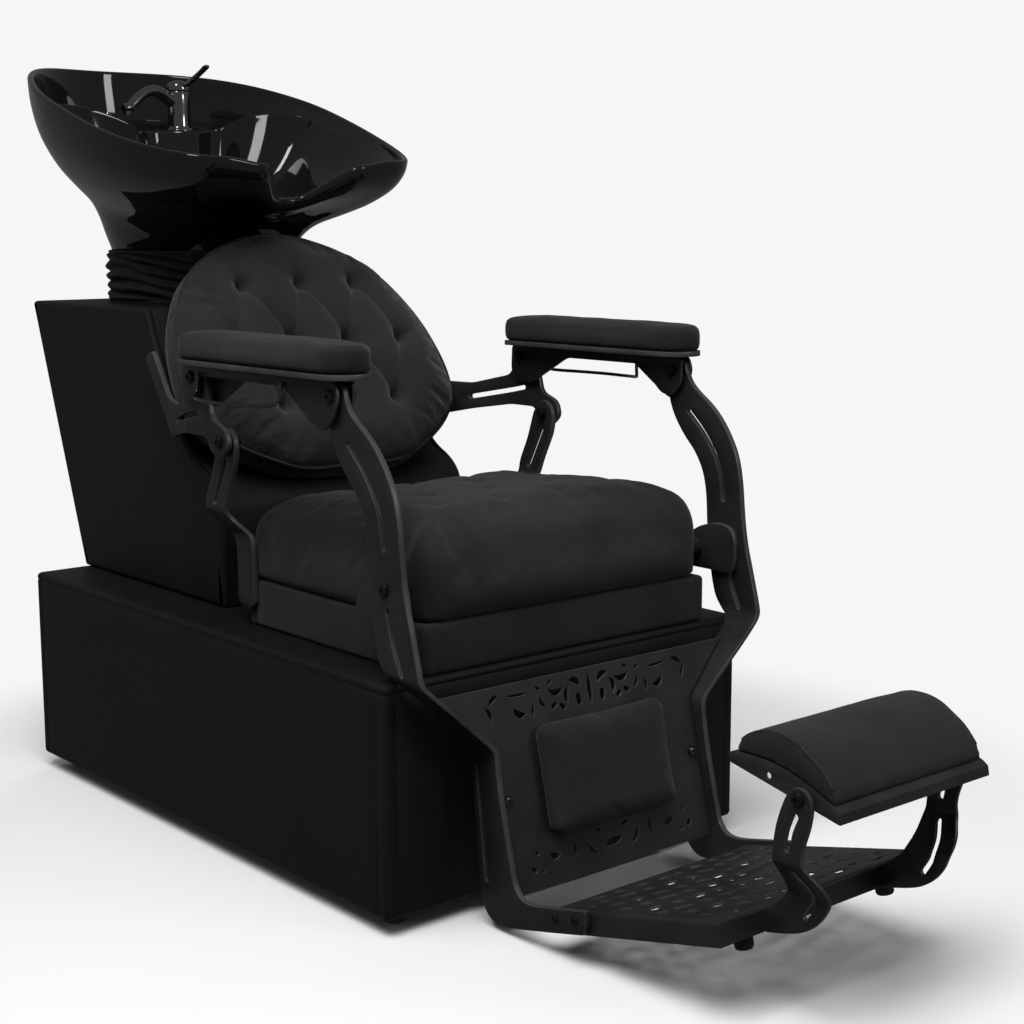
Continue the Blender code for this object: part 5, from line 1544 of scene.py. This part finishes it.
def rim(th):
    c, s = math.cos(th), math.sin(th)
    p = 1.85 + 0.40 * smooth(-0.45, 0.15, c)
    rr = (abs(s) ** p + abs(c) ** p) ** (-1 / p)
    x = BASIN_A * rr * s
    y = BASIN_C - BASIN_B * rr * c
    # blunt front, a little lower beside the neck notch
    e = y - 0.558
    y = 0.558 + 0.5 * (e + math.sqrt(e * e + 0.0009))
    z = 0.925 + 0.170 * smooth(0.50, 1.24, y) ** 0.92
    if c > 0:
        z -= 0.008 * (1 - smooth(0.080, 0.150, abs(x)))
        t = min(max((abs(x) - 0.016) / 0.064, 0.0), 1.0)
        k = 1 - 0.5 * (t + t * t * (3 - 2 * t))
        y += 0.072 * k
        z -= 0.047 * k
    return x, y, z


def ang(k):
    return 2 * math.pi * k / RING


def neck(th):
    return NECK_A * math.sin(th), NECK_C - NECK_B * math.cos(th)


def flare_z(th):
    return 0.800 + 0.040 * smooth(0.72, 0.97, math.cos(th))


FLARE = [(0.0, 0.0), (0.10, 0.08), (0.20, 0.15), (0.30, 0.26), (0.40, 0.46), (0.52, 0.68), (0.68, 0.87),
         (0.85, 0.97), (1.0, 1.0)]
FL = [(p.x, p.y) for p in catmull([(h, g, 0) for h, g in FLARE], 4)]


def outer_ring(h, g):
    out = []
    for k in range(RING):
        th = ang(k)
        xr, yr, zr = rim(th)
        xn, yn = neck(th)
        w = smooth(0.70, 0.97, math.cos(th))
        gg = max(g, 0.0) ** (1 - 0.45 * w)
        z0 = flare_z(th)
        out.append(Vector((xn + (xr - xn) * gg, yn + (yr - yn) * gg, z0 + (zr - z0) * h)))
    return out


def neck_ring(z, inset):
    out = []
    for k in range(RING):
        th = ang(k)
        f = (NECK_A - inset) / NECK_A
        xn, yn = neck(th)
        zz = z if z < 0.79 else z + (flare_z(th) - 0.800) * (z - 0.79) / 0.01
        out.append(Vector((xn * f, NECK_C + (yn - NECK_C) * f, zz)))
    return out


WALL = 0.011
DRAIN_Y = 0.915


def rim_dir(th):
    """Horizontal direction across the rim, outwards."""
    x0, y0, _ = rim(th - 0.01)
    x1, y1, _ = rim(th + 0.01)
    t = Vector((x1 - x0, y1 - y0)).normalized()
    n = Vector((t.y, -t.x))
    x, y, _ = rim(th)
    if n.dot(Vector((x, y - BASIN_C))) < 0:
        n = -n
    r = Vector((x, y - BASIN_C)).normalized()
    return (n * 0.35 + r * 0.65).normalized()


def lip_ring(k_):
    """Rolled lip from the outer face over the top to the inner face."""
    out = []
    a = math.pi * k_
    for k in range(RING):
        th = ang(k)
        x, y, z = rim(th)
        d = rim_dir(th)
        o = -WALL / 2 + WALL / 2 * math.cos(a)
        h = 0.0052 * math.sin(a)
        out.append(Vector((x + d.x * o, y + d.y * o, z + h - 0.0010)))
    return out


def bowl_ring(f):
    out = []
    for k in range(RING):
        th = ang(k)
        xr, yr, zr = rim(th)
        dx, dy = xr, yr - BASIN_C
        q = math.hypot(dx, dy)
        inward = WALL + 0.014 * smooth(0, 0.25, f)
        x, y = xr - dx / q * inward, yr - dy / q * inward
        rear = smooth(0.20, 0.78, -math.cos(th))
        zd = DECK_Z * rear + (zr - 0.02) * (1 - rear)
        sh = 0.158 * rear
        xd, yd = x - dx / q * sh, y - dy / q * sh
        fx, fy = 0.026 * math.sin(th), DRAIN_Y - 0.026 * math.cos(th)
        if f <= 0.2:
            t = f / 0.2
            out.append(Vector((x, y, zr - 0.0005 + (max(zd, 0.86) - zr) * t)))
        elif f <= 0.3:
            t = (f - 0.2) / 0.1
            out.append(Vector((x + (xd - x) * t, y + (yd - y) * t, max(zd, 0.86))))
        else:
            t = (f - 0.3) / 0.7
            g = t ** 1.25
            zt = max(zd, 0.862)
            out.append(Vector((xd + (fx - xd) * g, yd + (fy - yd) * g,
                               0.850 + (zt - 0.850) * (1 - t) ** 2.2)))
    return out


rings = [neck_ring(NECK_Z0, 0.0), neck_ring(0.790, 0.0)]
for h, g in FL[:-2]:
    rings.append(outer_ring(h, g))
for k in range(9):
    rings.append(lip_ring(k / 8))
for f in (0.05, 0.10, 0.15, 0.185, 0.20, 0.206, 0.22, 0.25, 0.28, 0.294, 0.30, 0.308, 0.325, 0.35, 0.38,
          0.42, 0.47, 0.53, 0.60, 0.68, 0.76, 0.84, 0.91, 0.96, 1.0):
    rings.append(bowl_ring(f))
rings.append([Vector((0.0245 * math.sin(ang(k)), DRAIN_Y - 0.0245 * math.cos(ang(k)),
                      0.846)) for k in range(RING)])
rings.append([Vector((0.024 * math.sin(ang(k)), DRAIN_Y - 0.024 * math.cos(ang(k)),
                      0.836)) for k in range(RING)])
under = []
nr = neck_ring(0.79, 0.014)
for p in nr:
    under.append(Vector((p.x * 0.9, NECK_C + (p.y - NECK_C) * 0.9, 0.830)))
rings.append(under)
rings.append(neck_ring(0.79, 0.012))
rings.append(neck_ring(NECK_Z0, 0.012))
ob = link("basin_shell", to_mesh(stack(rings, close_ring=True), "basin"), "basin", ("basin",),
          (CERAMIC,), 62.0)
sb = ob.modifiers.new("sub", 'SUBSURF')
sb.levels = 1
sb.render_levels = 1

# drain strainer with slots
dome = turned((0, DRAIN_Y, 0.8365), (0, DRAIN_Y, 0.86),
              [(0.0, 0.018), (0.0136, 0.018), (0.0137, 0.0225), (0.0150, 0.0228), (0.0162, 0.0222),
               (0.0166, 0.0200), (0.0160, 0.0180)], 48)
plate_pts = [circle((0.010 * math.cos(a), 0.010 * math.sin(a)), 0.0022,
                    10) for a in [math.pi / 4 * k for k in range(8)]]
plate_pts.append(circle((0, 0), 0.0022, 10))
grid = plate(circle((0, 0), 0.0178, 40), plate_pts, 0.0012, 0.0003)
for v in grid.verts:
    v.co = Vector((v.co.x, DRAIN_Y + v.co.y, 0.8512 + v.co.z))
link("drain_grid", to_mesh(merge(dome, grid), "drain"), "basin", ("drain_strainer",),
     (CHROME, CHROME), 35.0)


# ---- bellows boot: loose folds that lean and wander
rings = []
ZB0, ZB1, FOLDS = 0.7205, 0.800, 5
NB = 120
prof = []
STEPS = 60
for j in range(STEPS + 1):
    t = j / STEPS
    ring = []
    for k in range(NB):
        th = 2 * math.pi * k / NB
        ends_ = min(1.0, min(t, 1 - t) / 0.08)
        ph = t * FOLDS + ends_ * (0.85 * math.sin(th + 0.8) + 0.45 * math.sin(2 * th + 2.0)
                                  + 0.22 * math.sin(3 * th + 0.4 + 3 * t)
                                  + 0.12 * math.sin(7 * th + 5 * t))
        wv = 0.5 - 0.5 * math.cos(2 * math.pi * ph)
        lump = mnoise.noise(Vector((math.sin(th) * 2.2, math.cos(th) * 2.2, t * 5.0)))
        fold_h = (0.0040 + (0.0075 + 0.0030 * lump) * (wv ** 0.6) * (0.80 + 0.20 * math.sin(5 * th + 9 * t))
                  + 0.0014 * lump)
        fold_h = fold_h * ends_ + 0.0050 * (1 - ends_)
        z = ZB0 + (ZB1 - ZB0) * t
        ring.append(Vector(((NECK_A + fold_h) * math.sin(th), NECK_C - (NECK_B + fold_h) * math.cos(th),
                            z)))
    rings.append(ring)
for j in range(STEPS, -1, -4):
    t = j / STEPS
    z = ZB0 + (ZB1 - ZB0) * t
    rings.append([Vector(((NECK_A + 0.0022) * math.sin(2 * math.pi * k / NB),
                          NECK_C - (NECK_B + 0.0022) * math.cos(2 * math.pi * k / NB),
                          z)) for k in range(NB)])
ob = link("bellows_boot", to_mesh(stack(rings, close_ring=True), "bellows"), None, ("bellows",),
          (RUBBER,), 50.0)
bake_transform(ob)

# ---- mixer
MX, MY = 0.062, 1.055
ZB = DECK_Z + 0.0006
core = turned((MX, MY, ZB), (MX, MY, ZB + 0.1), [(0.0, 0.0235), (0.0006, 0.0240), (0.0030, 0.0240),
                                                 (0.0042, 0.0228), (0.0056, 0.0205), (0.0090, 0.0196),
              (0.0300, 0.0188), (0.0520, 0.0186), (0.0630, 0.0180), (0.0655, 0.0170), (0.0660, 0.0140)], 48)
pts, rad = [], []
for k in range(25):
    t = k / 24
    pts.append((MX - 0.0100 - 0.100 * t, MY - 0.012 * t,
                ZB + 0.046 + 0.024 * math.sin(math.pi * min(1, t * 1.15)) - 0.012 * t))
    rad.append(0.0110 - 0.0028 * smooth(0.0, 0.6, t) - (0.0020 * smooth(0.93, 1.0, t)))
spout = tube(pts, rad, 28)
for v in spout.verts:
    v.co.y = MY + (v.co.y - MY) * 1.12
tip = pts[-2]
aer = turned((tip[0] + 0.004, tip[1], tip[2] - 0.002), (tip[0] + 0.003, tip[1], tip[2] - 0.03),
             [(0.0, 0.0074), (0.0085, 0.0074), (0.0092, 0.0066), (0.0092, 0.0052), (0.0080, 0.0050)], 28)
link("mixer_shell", to_mesh(merge(core, spout, aer), "mixer"), "basin", ("mixer_body",),
     (CHROME,), 45.0)
cap = turned((MX, MY, ZB + 0.0666), (MX, MY, ZB + 0.2),
             [(0.0, 0.0180), (0.0008, 0.0189), (0.0060, 0.0190), (0.0100, 0.0180), (0.0135, 0.0150),
              (0.0160, 0.0105), (0.0172, 0.0055), (0.0175, 0.0010)], 48)
link("mixer_dome", to_mesh(cap, "mixer_cap"), "mixer_cap", ("mixer_cap",), (CHROME,), 45.0)
lev = [(MX + 0.004, MY - 0.0205, ZB + 0.076), (MX + 0.006, MY - 0.040, ZB + 0.084),
       (MX + 0.008, MY - 0.062, ZB + 0.094), (MX + 0.009, MY - 0.080, ZB + 0.103)]
lp = catmull(lev, 6)
rings = []
for i, p in enumerate(lp):
    t = i / (len(lp) - 1)
    a, b = lp[max(i - 1, 0)], lp[min(i + 1, len(lp) - 1)]
    d = (b - a).normalized()
    u = d.cross(Vector((0, 0, 1))).normalized()
    w = u.cross(d).normalized()
    hw = 0.0046 + 0.0016 * smooth(0.3, 1.0, t)
    hh = 0.0042 - 0.0018 * smooth(0.2, 0.9, t)
    if i == 0:
        hw, hh = hw * 0.8, hh * 0.8
    if i == len(lp) - 1:
        hw, hh = hw * 0.75, hh * 0.75
    rings.append([p + u * (hw * math.copysign(abs(math.cos(g)) ** 0.7,
                                              math.cos(g)))
                  + w * (hh * math.copysign(abs(math.sin(g)) ** 0.7, math.sin(g)))
                  for g in [2 * math.pi * k / 24 for k in range(24)]])
link("mixer_handle", to_mesh(stack(rings), "mixer_lever"), "mixer_lever", ("mixer_lever",),
     (CHROME,), 45.0)

# hose guide: collar with two small grips
hg = turned((-0.052, 1.085, ZB), (-0.052, 1.085, ZB + 0.1),
            [(0.0, 0.0165), (0.0006, 0.0170), (0.0036, 0.0170), (0.0048, 0.0160), (0.0060, 0.0132),
             (0.0085, 0.0126),
            (0.0180, 0.0122), (0.0190, 0.0112), (0.0204, 0.0112), (0.0214, 0.0120), (0.0262, 0.0118),
            (0.0288, 0.0100), (0.0292, 0.0078), (0.0270, 0.0070)], 40)
link("hose_collar", to_mesh(hg, "hose_guide"), "basin", ("hose_guide",), (CHROME,), 35.0)

# glides: threaded foot with a rubber sole
for nm, sx, yy in (("front_left", -1, 0.045), ("front_right", 1, 0.045), ("rear_left", -1, 0.864),
                   ("rear_right", 1, 0.864)):
    gx = sx * 0.253
    g = turned((gx, yy, 0.0), (gx, yy, 0.1), [(0.0, 0.0125), (0.0006, 0.0136), (0.0034, 0.0158),
                                              (0.0060, 0.0160), (0.0125, 0.0160), (0.0135, 0.0150),
                                              (0.0145, 0.0138),
               (0.0205, 0.0138), (0.0214, 0.0132)], 40)
    link("glide_foot_" + nm, to_mesh(g, "glide"), "base", ("glide_" + nm,), (RUBBER,), 40.0)


# ============================================================== floor and light
PALE = 0.921
GLOW_FROM, GLOW_TO = 0.74, 1.14


def stage_material():
    """Pale matt sweep: lit near the object, a plain glow far out; other
    surfaces see it darker, as black flags round a table would make it."""
    m, nt, b = tree("studio_floor")
    out = nt.nodes.get("Material Output")
    grain = noise_tex(nt, coords(nt), 3.0, 3.0)
    nt.links.new(ramp(nt, grain, [(0.3, (0.885, 0.885, 0.885)), (0.7, (0.895, 0.895, 0.895))]),
                 b.inputs["Base Color"])
    b.inputs["Roughness"].default_value = 0.9
    b.inputs["Specular IOR Level"].default_value = 0.0
    glow = node(nt, "ShaderNodeEmission")
    glow.inputs["Color"].default_value = (PALE, PALE, PALE, 1.0)
    glow.inputs["Strength"].default_value = 1.0
    tc = node(nt, "ShaderNodeTexCoord")
    ln = node(nt, "ShaderNodeVectorMath")
    ln.operation = 'LENGTH'
    nt.links.new(tc.outputs["Object"], ln.inputs[0])
    far = node(nt, "ShaderNodeMapRange")
    far.interpolation_type = 'SMOOTHERSTEP'
    far.inputs["From Min"].default_value = GLOW_FROM
    far.inputs["From Max"].default_value = GLOW_TO
    nt.links.new(ln.outputs["Value"], far.inputs["Value"])
    seen = node(nt, "ShaderNodeMixShader")
    nt.links.new(far.outputs["Result"], seen.inputs[0])
    nt.links.new(b.outputs[0], seen.inputs[1])
    nt.links.new(glow.outputs[0], seen.inputs[2])
    dim = node(nt, "ShaderNodeEmission")
    dim.inputs["Color"].default_value = (0.11, 0.11, 0.11, 1.0)
    dim.inputs["Strength"].default_value = 1.0
    lp = node(nt, "ShaderNodeLightPath")
    pick = node(nt, "ShaderNodeMixShader")
    nt.links.new(lp.outputs["Is Camera Ray"], pick.inputs[0])
    nt.links.new(dim.outputs[0], pick.inputs[1])
    nt.links.new(seen.outputs[0], pick.inputs[2])
    nt.links.new(pick.outputs[0], out.inputs["Surface"])
    return m


SEG = 96
FLOOR_RINGS = (1.0, 2.0, 4.0, 8.0, 16.0, 30.0)
bm = bmesh.new()
centre = bm.verts.new((0, 0, 0))
last = None
for r in FLOOR_RINGS:
    cur = [bm.verts.new((r * math.cos(2 * math.pi * k / SEG), r * math.sin(2 * math.pi * k / SEG),
                         0.0)) for k in range(SEG)]
    for k in range(SEG):
        if last is None:
            bm.faces.new((centre, cur[k], cur[(k + 1) % SEG]))
        else:
            bm.faces.new((last[k], cur[k], cur[(k + 1) % SEG], last[(k + 1) % SEG]))
    last = cur
me = bpy.data.meshes.new("floor")
bm.to_mesh(me)
bm.free()
me.materials.append(stage_material())
floor = bpy.data.objects.new("floor", me)
COLL.objects.link(floor)

world = bpy.data.worlds.new("studio")
SCENE.world = world
world.use_nodes = True
wt = world.node_tree
bg = wt.nodes.get("Background")
bg.inputs["Color"].default_value = (PALE, PALE, PALE, 1.0)
bg.inputs["Strength"].default_value = 1.0
room = wt.nodes.new("ShaderNodeBackground")
room.inputs["Color"].default_value = (0.115, 0.115, 0.118, 1.0)
room.inputs["Strength"].default_value = 1.0
wlp = wt.nodes.new("ShaderNodeLightPath")
wmix = wt.nodes.new("ShaderNodeMixShader")
wt.links.new(wlp.outputs["Is Camera Ray"], wmix.inputs[0])
wt.links.new(room.outputs[0], wmix.inputs[1])
wt.links.new(bg.outputs[0], wmix.inputs[2])
wt.links.new(wmix.outputs[0], wt.nodes.get("World Output").inputs["Surface"])


def area(name, loc, aim, size, power, size_y=None, tint=(1, 1, 1)):
    ld = bpy.data.lights.new(name, 'AREA')
    ld.shape = 'RECTANGLE' if size_y else 'SQUARE'
    ld.size = size
    if size_y:
        ld.size_y = size_y
    ld.energy = power
    ld.color = tint
    lo = bpy.data.objects.new(name, ld)
    COLL.objects.link(lo)
    lo.location = loc
    d = Vector(aim) - Vector(loc)
    lo.rotation_euler = d.to_track_quat('-Z', 'Y').to_euler()
    return lo


key = area("key", (-1.2, -1.0, 3.2), (0.1, 0.0, 0.3), 2.4, 118.0, 2.4)
key.visible_glossy = False
area("front", (1.6, -3.4, 2.2), (0.1, -0.2, 0.5), 1.0, 16.0, 1.0)
area("window", (-1.5, -0.4, 3.3), (0.0, 0.4, 0.9), 0.55, 12.0, 0.8)
back = area("back", (2.3, 2.4, 2.6), (0.0, 0.2, 0.4), 1.8, 22.0, 1.8)
back.visible_glossy = False
